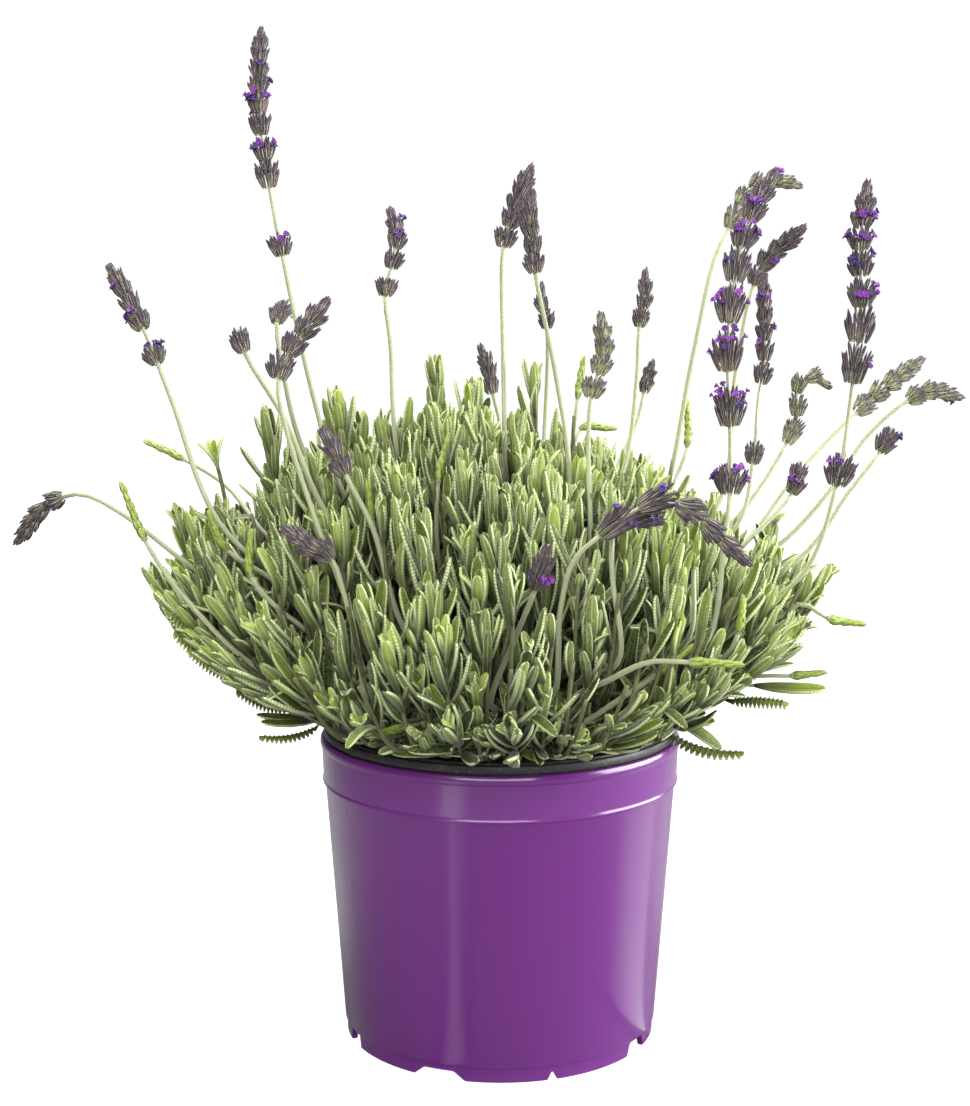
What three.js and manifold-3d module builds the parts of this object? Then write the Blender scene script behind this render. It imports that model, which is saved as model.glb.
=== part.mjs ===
// Potted lavender: a bushy toothed-leaf lavender in a black growing pot, nested in a glossy purple pot.
// Millimetres, +Z up. The origin is the centre of the plane that the pot's foot stands on.

import * as THREE from 'three';
import { mergeVertices } from 'three/addons/utils/BufferGeometryUtils.js';
import Module from 'manifold-3d';

const wasm = await Module();
wasm.setup();

// Driving dimensions of the purple pot, a 13 cm nursery size.
const RIM_RADIUS = 65;
const POT_HEIGHT = 110.5;
const POT_WALL = 1.3;
const BAND_HEIGHT = 16;
const BAND_TAPER = 1.0;
const BAND_STEP = 0.7;
const FOOT_RADIUS = 56.2;
const FOOT_HEIGHT = 5;
const FOOT_STEP = 0.7;
const FOOT_WALL = 2.2;
const LIP_CHAMFER = 1.4;
const LIP_WALL = 2.5;
const POT_FLOOR_TOP = 7.5;
const POT_FLOOR_THICKNESS = 1.8;
const POT_SIDES = 32;
const SEAT_GAP = 0.3;

// The foot ring is cut by notches: [azimuth in degrees, width at the foot, height].
const FOOT_NOTCHES = [
  [-150, 9, 4.5],
  [-105, 13, 2.2],
  [-68, 4, 2.5],
  [-31, 9, 4.5],
  [0, 7, 3],
  [45, 11, 3],
  [90, 11, 3],
  [135, 11, 3],
  [180, 7, 3],
];
const FOOT_CUT_DEPTH = 12;
const DRAIN_COUNT = 6;
const DRAIN_RING_RADIUS = 38;
const POT_DRAIN_RADIUS = 5;
const LINER_DRAIN_RADIUS = 4;
const DRAIN_SIDES = 8;

// The black growing pot.
const LINER_WALL = 1.0;
const LINER_SIDE_GAP = 0.45;
const LINER_RIM_RISE = 4;
const LINER_RIM_WIDTH = 4.6;
const LINER_RIM_INSET = 1.2;
const LINER_FLOOR_THICKNESS = 1.4;

// The soil plug and the plain holes that the stems stand in.
const SOIL_EDGE_Z = 101;
const SOIL_CROWN_Z = 104;
const STEM_HOLE_RADIUS = 2.9;
const STEM_HOLE_SIDES = 5;
const STEM_HOLE_DEPTH = 9;

// The mound of foliage: shoots end on a dome over the pot's mouth.
const MOUND_CENTRE = new THREE.Vector3(-3, 2, 128);
const MOUND_TOP_RADIUS = 105;
const MOUND_SHOULDER = 18;
const MOUND_SHOULDER_TURN = 1.35;
const MOUND_UNDERCUT = 30;
const MOUND_UNDERCUT_FROM = THREE.MathUtils.degToRad(76);
const MOUND_EDGE_ANGLE = THREE.MathUtils.degToRad(100);
const STEM_COUNT = 28;
const SHOOT_COUNT = 50;
const SOIL_SPREAD = 47;
const TUFT_LENGTH = 52;
const RIM_CLEAR_Z = 121;
const TRUNK_RADIUS = 1.9;
const TRUNK_RISE = 9;
const SHOOT_RADIUS = 1.3;
const TUFT_CORE_RADIUS = 4;
const TRUNK_LEAN = 0.05;
const FORK_DROP = 0.4;
const TRUNK_SIDES = 4;
const SHOOT_SIDES = 4;
const SHOOT_STEPS = 4;
const SHOOT_DROOP_FROM = THREE.MathUtils.degToRad(78);
const SHOOT_TILT = 0.42;
const SHOOT_KNEE = 0.35;
const SHOOT_KNEE_RISE = 0.12;
const SHOOT_NUDGE = 3;
const SHOOT_NUDGE_RINGS = 7;
const GOLDEN_ANGLE = Math.PI * (3 - Math.sqrt(5));
const SEED = 20261;

// The leaves: narrow, blunt and scalloped along both edges.
const LEAVES_PER_SHOOT = 5;
const LEAF_LENGTH = 41;
const LEAF_HALF_WIDTH = 3.7;
const LEAF_NOTCH = 0.62;
const LEAF_KEEL = 1.3;
const LEAF_LOBES = 2;
const LEAF_TIP_SHARE = 0.6;
const LEAF_LIFT = 0.2;
const LEAF_LOWEST = 0.5;
const LEAF_HIGHEST = 0.86;
const LEAF_SPREAD_LOW = 0.62;
const LEAF_SPREAD_HIGH = 0.3;
const LEAF_BARS = 4;
const LEAF_BAR_RADII = [1, 2.4, 3, 2.7, 1.4];
const LEAF_TWISTS = [0, 0.4, -0.4, 0.8, -0.8, 1.3, -1.3];
const LEAF_SHORTER = [1, 0.82];
const CLEARANCE = 0.5;
const FOLIAGE_FLOOR_Z = 104;
const FOLIAGE_FLOOR_RISE = 0.12;

// The flower stalks and heads.
const STALK_RADIUS = 1.05;
const STALK_TIP_RADIUS = 0.85;
const STALK_SIDES = 3;
const STALK_HIDDEN_STEPS = 3;
const STALK_STEPS = 12;
const STALK_STEM_CHOICES = 6;
const PORTION_POINTS = 12;
const STALK_KNEE_RISE = 6;
const STALK_NUDGE = 5;
const STALK_NUDGE_RINGS = 3;
const BUD_REACH = 3.4;
const BUD_RADII = [3.2, 1.4, 2.6, 0];
const HEAD_TAPER = 0.45;
const HEAD_STEPS = 24;
const CALYX_LIFT = 0.95;
const VALLEY_LIFT = 0.45;
const VALLEY_REACH = 0.45;
const HEAD_TIP = 0.3;
const HEAD_NECK_RADIUS = 1.1;
const HEAD_GAP = 0.3;

// Routes chosen by hand from where the stalks show: `stalk` climbs out of the leaves, `spike` is the
// head's own axis. `bare` is the part of the spike without whorls, above its lowest one. `reach` is how
// far the calyces stand out.
const FLOWERS = [
  { name: 'tall_left', stalk: [[-56, -12, 201], [-66, -5, 233], [-77, 5, 281]],
    spike: [[-82, 8, 308], [-85, 10, 334], [-84, 12, 361]], whorls: 8, bare: [0.09, 0.3], reach: 4.8 },
  { name: 'outer_left', stalk: [[-98, -15, 188], [-116, 0, 229], [-122, 5, 243]],
    spike: [[-129, 10, 258], [-136, 15, 270], [-142, 18, 279]], whorls: 5, bare: [0.15, 0.32], reach: 4.2 },
  { name: 'far_left', stalk: [[-108, -20, 174], [-131, -16, 191], [-146, -12, 198], [-154, -10, 197]],
    spike: [[-162, -8, 192], [-168, -6, 185], [-173, -5, 178]], whorls: 5, reach: 3.6 },
  { name: 'round_left', stalk: [[-60, -45, 199], [-72, -38, 226], [-86, -34, 249]],
    spike: [[-88, -33, 257]], whorls: 2, reach: 3.6 },
  { name: 'round_back', stalk: [[-72, 16, 212], [-79, 18, 241], [-81, 20, 257]],
    spike: [[-79, 26, 261], [-76, 32, 258]], whorls: 3, reach: 3.8 },
  { name: 'leaning_left',
    stalk: [[-42, -72, 133], [-48, -74, 166], [-60, -64, 196], [-71, -54, 228], [-73, -50, 241]],
    spike: [[-68, -48, 252], [-62, -46, 260], [-56, -44, 268]], whorls: 5, reach: 5 },
  { name: 'bent_left', stalk: [[-44, -84, 152], [-49, -87, 175], [-53, -88, 187]],
    spike: [[-58, -90, 190], [-63, -90, 194], [-70, -90, 197]], whorls: 4, reach: 3.8 },
  { name: 'dark_left', stalk: [[-32, -70, 163], [-41, -70, 194], [-50, -66, 211]],
    spike: [[-55, -64, 221], [-59, -62, 227]], whorls: 3, reach: 4 },
  { name: 'middle_left', stalk: [[-38, 30, 209], [-41, 40, 249], [-43, 44, 266]],
    spike: [[-40, 46, 280], [-39, 47, 288], [-42, 50, 300]], whorls: 5, bare: [0.18, 0.3], reach: 4.2 },
  { name: 'brown_back', stalk: [[0, 80, 214], [-3, 82, 227]],
    spike: [[-5, 84, 237], [-9, 86, 247]], whorls: 4, reach: 3.6 },
  { name: 'middle_tall', stalk: [[2, 5, 203], [1, 15, 246], [1, 20, 284]],
    spike: [[4, 21, 294], [7, 22, 303], [12, 24, 314]], whorls: 5, reach: 4.4 },
  { name: 'middle_right', stalk: [[24, -20, 206], [19, -14, 241], [12, -10, 275]],
    spike: [[11, -9, 285], [10, -8, 295], [12, -6, 304]], whorls: 5, reach: 3.7 },
  { name: 'middle_behind', stalk: [[17, 62, 213], [18, 66, 253]],
    spike: [[16, 67, 263], [16, 68, 272]], whorls: 3, reach: 3.2 },
  { name: 'green_topped', stalk: [[30, -40, 181], [30, -28, 217], [31, -24, 233]],
    spike: [[35, -21, 247], [35, -20, 254], [34, -18, 263]], whorls: 5, reach: 4 },
  { name: 'right_of_middle', stalk: [[47, 48, 201], [52, 56, 235], [53, 60, 254]],
    spike: [[55, 62, 266], [55, 64, 277]], whorls: 4, reach: 3.3 },
  { name: 'small_back', stalk: [[55, 86, 218], [57, 88, 227]],
    spike: [[61, 90, 241]], whorls: 3, reach: 3 },
  { name: 'big_right', stalk: [[68, -62, 156], [74, -54, 188], [76, -50, 203]],
    spike: [[76, -47, 224], [75, -44, 250], [76, -42, 264], [81, -38, 289], [92, -34, 311]],
    whorls: 9, bare: [0.1, 0.2], reach: 6 },
  { name: 'arching_back', stalk: [[60, 20, 194], [70, 28, 242], [79, 36, 281], [84, 38, 291]],
    spike: [[89, 40, 301], [95, 42, 307], [104, 44, 308], [113, 46, 305]], whorls: 5, reach: 3.8 },
  { name: 'leaning_right', stalk: [[82, 30, 192], [87, 36, 236], [94, 42, 270]],
    spike: [[99, 42, 279], [106, 40, 286], [113, 38, 292]], whorls: 4, reach: 4.2 },
  { name: 'right_middle', stalk: [[86, 10, 185], [92, 18, 206]],
    spike: [[94, 22, 229], [96, 24, 241], [96, 26, 264], [96, 28, 275]],
    whorls: 6, bare: [0.12, 0.42], reach: 3.7 },
  { name: 'bent_right', stalk: [[94, 55, 185], [111, 66, 209]],
    spike: [[115, 68, 218], [115, 69, 229], [121, 71, 234], [130, 72, 228]], whorls: 5, reach: 3.8 },
  { name: 'tall_right', stalk: [[103, -30, 172], [114, -33, 204]],
    spike: [[118, -36, 239], [120, -37, 262], [119, -38, 287], [121, -40, 307]],
    whorls: 8, bare: [0.1, 0.34], reach: 5.4 },
  { name: 'slanting_right', stalk: [[92, 40, 173], [113, 52, 198], [138, 66, 221]],
    spike: [[150, 70, 231], [166, 76, 242]], whorls: 5, reach: 4.4 },
  { name: 'far_right', stalk: [[105, 20, 178], [123, 26, 197], [135, 31, 214], [151, 34, 228]],
    spike: [[160, 36, 231], [173, 38, 228]], whorls: 5, reach: 3.8 },
  { name: 'small_far_right', stalk: [[110, 2, 176], [125, 8, 196], [137, 12, 211]],
    spike: [[142, 14, 220]], whorls: 2, reach: 4 },
  { name: 'small_right', stalk: [[87, -5, 180], [104, 2, 197]],
    spike: [[107, 4, 209]], whorls: 2, reach: 3.8 },
  { name: 'arch_small', stalk: [[38, -88, 156], [35, -90, 183], [36, -90, 197]],
    spike: [[43, -92, 200], [51, -93, 197]], whorls: 3, reach: 4 },
  { name: 'arch_big', stalk: [[18, -80, 144], [19, -91, 172], [23, -96, 188], [31, -98, 196]],
    spike: [[46, -100, 206], [56, -101, 205], [67, -102, 196], [78, -102, 186]], whorls: 6, reach: 4.4 },
  { name: 'front_small', stalk: [[-3, -80, 139], [5, -91, 163], [11, -96, 179]],
    spike: [[15, -100, 194]], whorls: 3, reach: 4 },
];

// Buds that are still green: `stalk` is the bare part, `spike` the bud's axis.
const BUDS = [
  { name: 'left_back', stalk: [[-86, 20, 179], [-103, 40, 195], [-121, 52, 204]], spike: [[-135, 56, 210]] },
  { name: 'left_front', stalk: [[-80, -50, 143], [-110, -45, 172], [-120, -40, 186]], spike: [[-128, -36, 204]] },
  { name: 'middle', stalk: [[-21, -40, 181], [-21, -33, 205]], spike: [[-18, -31, 219]] },
  { name: 'right_back', stalk: [[27, 40, 211], [29, 44, 228]], spike: [[31, 46, 241]] },
  { name: 'green_back_right', stalk: [[68, 68, 194], [73, 72, 207]], spike: [[73, 75, 225]] },
  { name: 'far_right', stalk: [[101, -8, 155], [107, -9, 159], [116, -10, 154]], spike: [[127, -10, 152]] },
  { name: 'low_right', stalk: [[96, 0, 131], [105, 0, 131]], spike: [[115, 0, 132]] },
  { name: 'front_high', stalk: [[34, -92, 149], [46, -102, 157], [58, -107, 158]], spike: [[72, -110, 158]] },
  { name: 'front_low', stalk: [[24, -68, 128], [38, -80, 140], [50, -86, 150]], spike: [[59, -88, 158]] },
  { name: 'right_side', stalk: [[74, -60, 150], [78, -64, 159]], spike: [[79, -66, 169]] },
  { name: 'rim', stalk: [[-21, -72, 132], [-31, -80, 131]], spike: [[-40, -86, 130]] },
  { name: 'left_high', stalk: [[-80, -30, 172], [-93, -36, 182]], spike: [[-98, -37, 193]] },
  { name: 'left_low', stalk: [[-64, -60, 159], [-75, -64, 169], [-81, -66, 178]], spike: [[-81, -66, 191]] },
  { name: 'back_flat', stalk: [[29, 70, 207], [31, 72, 214]], spike: [[43, 74, 214]] },
  { name: 'left_middle', stalk: [[-41, -58, 190], [-42, -59, 196]], spike: [[-43, -60, 206]] },
  { name: 'right_front', stalk: [[61, -75, 160], [62, -75, 182]], spike: [[63, -75, 191]] },
];

const UP = new THREE.Vector3(0, 0, 1);
const LEAF_ZERO_TURN = new THREE.Vector3(1, 0.3, 0);

// A repeatable draw between 0 and 1.
function seededDraw(seed) {
  let state = seed >>> 0;
  return () => {
    state = (Math.imul(state, 1664525) + 1013904223) >>> 0;
    return state / 4294967296;
  };
}

function vector([x, y, z]) {
  return new THREE.Vector3(x, y, z);
}

// A closed skin over a row of loops, each turning left about the direction of travel. A loop at either
// end may be a single point; otherwise it is capped.
function loft(loops) {
  const positions = [];
  const indices = [];
  const starts = [];
  for (const loop of loops) {
    starts.push(positions.length / 3);
    for (const point of loop) positions.push(point.x, point.y, point.z);
  }
  const sides = Math.max(...loops.map((loop) => loop.length));
  const last = loops.length - 1;
  for (let i = 1; i < sides - 1; i += 1) {
    if (loops[0].length > 1) indices.push(starts[0], starts[0] + i + 1, starts[0] + i);
    if (loops[last].length > 1) indices.push(starts[last], starts[last] + i, starts[last] + i + 1);
  }
  for (let k = 0; k < last; k += 1) {
    for (let i = 0; i < sides; i += 1) {
      const next = (i + 1) % sides;
      if (loops[k].length === 1) {
        indices.push(starts[k], starts[k + 1] + next, starts[k + 1] + i);
      } else if (loops[k + 1].length === 1) {
        indices.push(starts[k] + i, starts[k] + next, starts[k + 1]);
      } else {
        indices.push(starts[k] + i, starts[k] + next, starts[k + 1] + next);
        indices.push(starts[k] + i, starts[k + 1] + next, starts[k + 1] + i);
      }
    }
  }
  const geometry = new THREE.BufferGeometry();
  geometry.setAttribute('position', new THREE.Float32BufferAttribute(positions, 3));
  geometry.setIndex(indices);
  return geometry;
}

function solidOf(geometry) {
  const bare = geometry.clone();
  bare.deleteAttribute('normal');
  bare.deleteAttribute('uv');
  const merged = mergeVertices(bare, 1e-4);
  return new wasm.Manifold(new wasm.Mesh({
    numProp: 3,
    vertProperties: new Float32Array(merged.attributes.position.array),
    triVerts: new Uint32Array(merged.index.array),
  }));
}

// The one body that joined solids make: loose scraps are dropped and sealed hollows filled.
function oneBody(joined) {
  const bodies = joined.decompose();
  return bodies.reduce((best, body) => (body.volume() > best.volume() ? body : best));
}

function geometryOf(solid) {
  const mesh = solid.getMesh();
  const geometry = new THREE.BufferGeometry();
  geometry.setAttribute('position', new THREE.Float32BufferAttribute(mesh.vertProperties, 3));
  geometry.setIndex(Array.from(mesh.triVerts));
  return geometry;
}

// Turned bodies: the profile is a list of [radius, height] points, from the axis or closed on itself.
function turned(profile, sides) {
  const geometry = new THREE.LatheGeometry(profile.map(([r, z]) => new THREE.Vector2(r, z)), sides);
  geometry.rotateX(Math.PI / 2);
  return solidOf(geometry);
}

function upright(radius, bottom, top, sides, x, y) {
  const geometry = new THREE.CylinderGeometry(radius, radius, top - bottom, sides);
  geometry.rotateX(Math.PI / 2);
  geometry.translate(x, y, (top + bottom) / 2);
  return solidOf(geometry);
}

// Radius of the pot's outer wall below the band.
function bodyRadius(z) {
  const top = POT_HEIGHT - BAND_HEIGHT;
  const topRadius = RIM_RADIUS - BAND_TAPER - BAND_STEP;
  const bottomRadius = FOOT_RADIUS + FOOT_STEP;
  return bottomRadius + (topRadius - bottomRadius) * (z - FOOT_HEIGHT) / (top - FOOT_HEIGHT);
}

function footNotch([azimuthDegrees, width, height]) {
  const wedge = new THREE.Shape();
  wedge.moveTo(-width / 2, -1);
  wedge.lineTo(width / 2, -1);
  wedge.lineTo(width / 3, height);
  wedge.lineTo(-width / 3, height);
  const depth = FOOT_CUT_DEPTH;
  const geometry = new THREE.ExtrudeGeometry(wedge, { depth, bevelEnabled: false });
  geometry.rotateX(Math.PI / 2);
  geometry.translate(0, FOOT_RADIUS + depth / 2, 0);
  geometry.rotateZ(THREE.MathUtils.degToRad(azimuthDegrees - 90));
  return solidOf(geometry);
}

function drains(radius, bottom, top) {
  const holes = [];
  for (let i = 0; i < DRAIN_COUNT; i += 1) {
    const azimuth = (i + 0.5) * 2 * Math.PI / DRAIN_COUNT;
    const x = DRAIN_RING_RADIUS * Math.cos(azimuth);
    const y = DRAIN_RING_RADIUS * Math.sin(azimuth);
    holes.push(upright(radius, bottom, top, DRAIN_SIDES, x, y));
  }
  return holes;
}

function purplePot() {
  const bandBottom = POT_HEIGHT - BAND_HEIGHT;
  const bandRadius = RIM_RADIUS - BAND_TAPER;
  const innerTop = RIM_RADIUS - LIP_WALL;
  const floorInner = bodyRadius(POT_FLOOR_TOP) - POT_WALL;
  const footInner = FOOT_RADIUS - FOOT_WALL;
  const underside = POT_FLOOR_TOP - POT_FLOOR_THICKNESS;
  const profile = [
    [0, underside],
    [footInner, underside],
    [footInner, 0],
    [FOOT_RADIUS, 0],
    [FOOT_RADIUS, FOOT_HEIGHT],
    [bodyRadius(FOOT_HEIGHT), FOOT_HEIGHT + FOOT_STEP],
    [bodyRadius(bandBottom), bandBottom - BAND_STEP],
    [bandRadius, bandBottom],
    [RIM_RADIUS, POT_HEIGHT - LIP_CHAMFER],
    [RIM_RADIUS - LIP_CHAMFER, POT_HEIGHT],
    [innerTop, POT_HEIGHT],
    [bodyRadius(bandBottom) - POT_WALL, bandBottom],
    [floorInner, POT_FLOOR_TOP],
    [0, POT_FLOOR_TOP],
  ];
  let pot = turned(profile, POT_SIDES);
  for (const notch of FOOT_NOTCHES) pot = pot.subtract(footNotch(notch));
  for (const hole of drains(POT_DRAIN_RADIUS, 0, POT_FLOOR_TOP + 1)) pot = pot.subtract(hole);
  return pot;
}

// Radius of the black pot's outer wall inside the purple one.
function linerRadius(z) {
  const bandBottom = POT_HEIGHT - BAND_HEIGHT;
  return bodyRadius(Math.min(z, bandBottom)) - POT_WALL - LINER_SIDE_GAP;
}

function growingPot() {
  const floor = POT_FLOOR_TOP + SEAT_GAP;
  const floorTop = floor + LINER_FLOOR_THICKNESS;
  const seat = POT_HEIGHT + SEAT_GAP;
  const top = POT_HEIGHT + LINER_RIM_RISE;
  const outer = RIM_RADIUS - LINER_RIM_INSET;
  const inner = outer - LINER_RIM_WIDTH;
  const wallTop = linerRadius(seat);
  const profile = [
    [0, floor],
    [linerRadius(floor), floor],
    [wallTop, POT_HEIGHT - BAND_HEIGHT],
    [wallTop, seat],
    [outer - 0.6, seat],
    [outer, seat + 1],
    [outer, top - 1.6],
    [outer - 1.2, top - 0.5],
    [outer - 2.4, top],
    [inner + 0.4, top - 0.4],
    [inner, top - 1.8],
    [wallTop - LINER_WALL, POT_HEIGHT - 3],
    [wallTop - LINER_WALL, POT_HEIGHT - BAND_HEIGHT],
    [linerRadius(floorTop) - LINER_WALL, floorTop],
    [0, floorTop],
  ];
  let liner = turned(profile, POT_SIDES);
  for (const hole of drains(LINER_DRAIN_RADIUS, floor - 1, floorTop + 1)) liner = liner.subtract(hole);
  return liner;
}

function soilTop(x, y) {
  const share = Math.hypot(x, y) / linerRadius(SOIL_EDGE_Z);
  return SOIL_CROWN_Z - (SOIL_CROWN_Z - SOIL_EDGE_Z) * share * share;
}

function soilPlug(stems) {
  const base = POT_FLOOR_TOP + 2 * SEAT_GAP + LINER_FLOOR_THICKNESS;
  const bend = POT_HEIGHT - BAND_HEIGHT;
  const gap = LINER_WALL + SEAT_GAP;
  const edge = linerRadius(SOIL_EDGE_Z) - gap;
  const profile = [
    [0, base],
    [linerRadius(base) - gap, base],
    [linerRadius(bend) - gap, bend],
    [edge, SOIL_EDGE_Z],
    [edge * 0.6, soilTop(edge * 0.6, 0)],
    [0, SOIL_CROWN_Z],
  ];
  let soil = turned(profile, POT_SIDES);
  for (const stem of stems) {
    const { x, y } = stem.foot;
    const bottom = stem.foot.z - SEAT_GAP;
    const hole = upright(STEM_HOLE_RADIUS, bottom, SOIL_CROWN_Z + 1, STEM_HOLE_SIDES, x, y);
    soil = soil.subtract(hole);
  }
  return soil;
}

// Shortest distance between two straight pieces, each given by its end points.
function segmentDistance(p1, q1, p2, q2) {
  const d1 = q1.clone().sub(p1);
  const d2 = q2.clone().sub(p2);
  const r = p1.clone().sub(p2);
  const a = Math.max(d1.dot(d1), 1e-9);
  const e = Math.max(d2.dot(d2), 1e-9);
  const f = d2.dot(r);
  const c = d1.dot(r);
  const b = d1.dot(d2);
  const denominator = a * e - b * b;
  let s = denominator > 1e-9 ? THREE.MathUtils.clamp((b * f - c * e) / denominator, 0, 1) : 0;
  const t = THREE.MathUtils.clamp((b * s + f) / e, 0, 1);
  s = THREE.MathUtils.clamp((b * t - c) / a, 0, 1);
  return p1.clone().addScaledVector(d1, s).distanceTo(p2.clone().addScaledVector(d2, t));
}

// Round bars that stand for what is already placed, so that no stem's growth crosses another's.
class Thicket {
  constructor() {
    this.bars = [];
  }

  add(owner, points, radii) {
    for (let i = 0; i < points.length - 1; i += 1) {
      const radius = Math.max(radii[i], radii[i + 1]);
      this.bars.push({ owner, from: points[i], to: points[i + 1], radius });
    }
  }

  remove(owner) {
    this.bars = this.bars.filter((bar) => bar.owner !== owner);
  }

  // Smallest gap between a row of bars and everything placed that `own` doesn't name.
  gap(own, points, radii) {
    let smallest = 50;
    for (let i = 0; i < points.length - 1; i += 1) {
      const radius = Math.max(radii[i], radii[i + 1]);
      const length = points[i].distanceTo(points[i + 1]);
      for (const bar of this.bars) {
        if (own.includes(bar.owner)) continue;
        const reach = radius + bar.radius + length + bar.from.distanceTo(bar.to);
        if (points[i].distanceTo(bar.from) > reach + smallest) continue;
        const gap = segmentDistance(points[i], points[i + 1], bar.from, bar.to) - radius - bar.radius;
        smallest = Math.min(smallest, gap);
      }
    }
    return smallest;
  }
}

// How low the foliage hangs outside the pot: lowest at the left and right.
function foliageFloor(point) {
  return FOLIAGE_FLOOR_Z + FOLIAGE_FLOOR_RISE * Math.abs(point.y);
}

// True where a bar's point clears the pot's mouth, its rims and the soil.
function clearsPot(point, radius) {
  const out = Math.hypot(point.x, point.y);
  if (out - radius > RIM_RADIUS + CLEARANCE) return point.z - radius > foliageFloor(point);
  if (point.z - radius > POT_HEIGHT + LINER_RIM_RISE + CLEARANCE) return true;
  const mouth = RIM_RADIUS - LINER_RIM_INSET - LINER_RIM_WIDTH - CLEARANCE;
  return out + radius < mouth && point.z - radius > soilTop(point.x, point.y) + CLEARANCE;
}

// Direction number `index` of `count` spread evenly over the mound, from its top to its edge.
function moundDirection(index, count) {
  const cosPolar = 1 - (1 - Math.cos(MOUND_EDGE_ANGLE)) * (index + 0.5) / count;
  return { polar: Math.acos(cosPolar), azimuth: index * GOLDEN_ANGLE };
}

function moundPoint({ polar, azimuth }) {
  const shoulder = MOUND_SHOULDER * Math.sin(MOUND_SHOULDER_TURN * polar) ** 2;
  const undercut = MOUND_UNDERCUT * THREE.MathUtils.smoothstep(polar, MOUND_UNDERCUT_FROM, MOUND_EDGE_ANGLE);
  const radius = MOUND_TOP_RADIUS + shoulder - undercut;
  const across = radius * Math.sin(polar);
  const offset = new THREE.Vector3(
    across * Math.cos(azimuth),
    across * Math.sin(azimuth),
    radius * Math.cos(polar),
  );
  return offset.add(MOUND_CENTRE);
}

// Where the stems stand: the mound's directions drawn together onto the soil.
function planStems() {
  const stems = [];
  for (let i = 0; i < STEM_COUNT; i += 1) {
    const direction = moundDirection(i, STEM_COUNT);
    const out = SOIL_SPREAD * Math.sqrt((i + 0.5) / STEM_COUNT);
    const x = out * Math.cos(direction.azimuth);
    const y = out * Math.sin(direction.azimuth);
    const foot = new THREE.Vector3(x, y, soilTop(x, y) - STEM_HOLE_DEPTH);
    const crown = foot.clone().addScaledVector(UP, STEM_HOLE_DEPTH + TRUNK_RISE);
    crown.add(new THREE.Vector3(x, y, 0).multiplyScalar(TRUNK_LEAN));
    stems.push({ owner: `stem ${i}`, direction, foot, crown, solids: [] });
  }
  return stems;
}

// The stems ranked by how near they point to the way from the mound's centre to `point`.
function nearestStems(stems, point) {
  const way = point.clone().sub(MOUND_CENTRE);
  const angle = (stem) => way.angleTo(moundPoint(stem.direction).sub(MOUND_CENTRE));
  return [...stems].sort((a, b) => angle(a) - angle(b));
}

// Small level shifts to try, nearest first: none, then rings of six.
function nudges(step, rings) {
  const list = [new THREE.Vector3()];
  for (let ring = 1; ring <= rings; ring += 1) {
    for (let i = 0; i < 6; i += 1) {
      const turn = i * Math.PI / 3 + ring;
      list.push(new THREE.Vector3(Math.cos(turn), Math.sin(turn), 0).multiplyScalar(step * ring));
    }
  }
  return list;
}

// The first of several tries that clears all else by `wanted`, or else the one with the widest gap.
function firstClear(tries, gapOf, wanted) {
  let best = null;
  for (const attempt of tries) {
    const gap = gapOf(attempt);
    if (gap >= wanted) return { attempt, gap };
    if (best === null || gap > best.gap) best = { attempt, gap };
  }
  return best;
}

function sample(curve, steps) {
  const points = [];
  for (let i = 0; i <= steps; i += 1) points.push(curve.getPointAt(i / steps));
  return points;
}

// A loop of points round a curve's frame number `k`, at a radius and a lift given for each point.
function loopRound(centre, frames, k, radiusOf, liftOf, sides) {
  const loop = [];
  for (let i = 0; i < sides; i += 1) {
    const turn = i * 2 * Math.PI / sides;
    loop.push(centre.clone()
      .addScaledVector(frames.normals[k], radiusOf(i) * Math.cos(turn))
      .addScaledVector(frames.binormals[k], radiusOf(i) * Math.sin(turn))
      .addScaledVector(frames.tangents[k], liftOf(i)));
  }
  return loop;
}

// The loops of a tapering bar along a curve; `radii` has one radius for each step, and 0 makes a point.
function barLoops(curve, radii, sides) {
  const steps = radii.length - 1;
  const frames = curve.computeFrenetFrames(steps, false);
  return radii.map((radius, k) => {
    const centre = curve.getPointAt(k / steps);
    return radius === 0 ? [centre] : loopRound(centre, frames, k, () => radius, () => 0, sides);
  });
}

// The stem's own foot: upright in its hole in the soil, then leaning outward to its crown.
function trunk(stem) {
  const mouth = stem.foot.clone().addScaledVector(UP, STEM_HOLE_DEPTH + 1);
  const loops = [stem.foot, mouth, stem.crown].map((centre) => {
    const loop = [];
    for (let i = 0; i < TRUNK_SIDES; i += 1) {
      const turn = i * 2 * Math.PI / TRUNK_SIDES;
      const offset = new THREE.Vector3(Math.cos(turn), Math.sin(turn), 0).multiplyScalar(TRUNK_RADIUS);
      loop.push(offset.add(centre));
    }
    return loop;
  });
  return solidOf(loft(loops));
}

// Where limbs leave the stem, just under its crown.
function forkPoint(stem) {
  return stem.crown.clone().addScaledVector(UP, -TRUNK_RISE * FORK_DROP);
}

// A shoot's axis: up out of the stem, out and over the rim, then mostly upward to its tip.
function shootPath(stem, direction, nudge) {
  const tip = moundPoint(direction).add(nudge);
  const tilt = direction.polar * SHOOT_TILT + Math.max(0, direction.polar - SHOOT_DROOP_FROM);
  const along = new THREE.Vector3(
    Math.sin(tilt) * Math.cos(direction.azimuth),
    Math.sin(tilt) * Math.sin(direction.azimuth),
    Math.cos(tilt),
  );
  const tuftFoot = tip.clone().addScaledVector(along, -TUFT_LENGTH);
  tuftFoot.z = Math.max(tuftFoot.z, RIM_CLEAR_Z);
  const knee = stem.crown.clone().lerp(tuftFoot, SHOOT_KNEE);
  knee.z += SHOOT_KNEE_RISE * stem.crown.distanceTo(tuftFoot);
  return new THREE.CatmullRomCurve3([forkPoint(stem), knee, tuftFoot, tip]);
}

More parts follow.
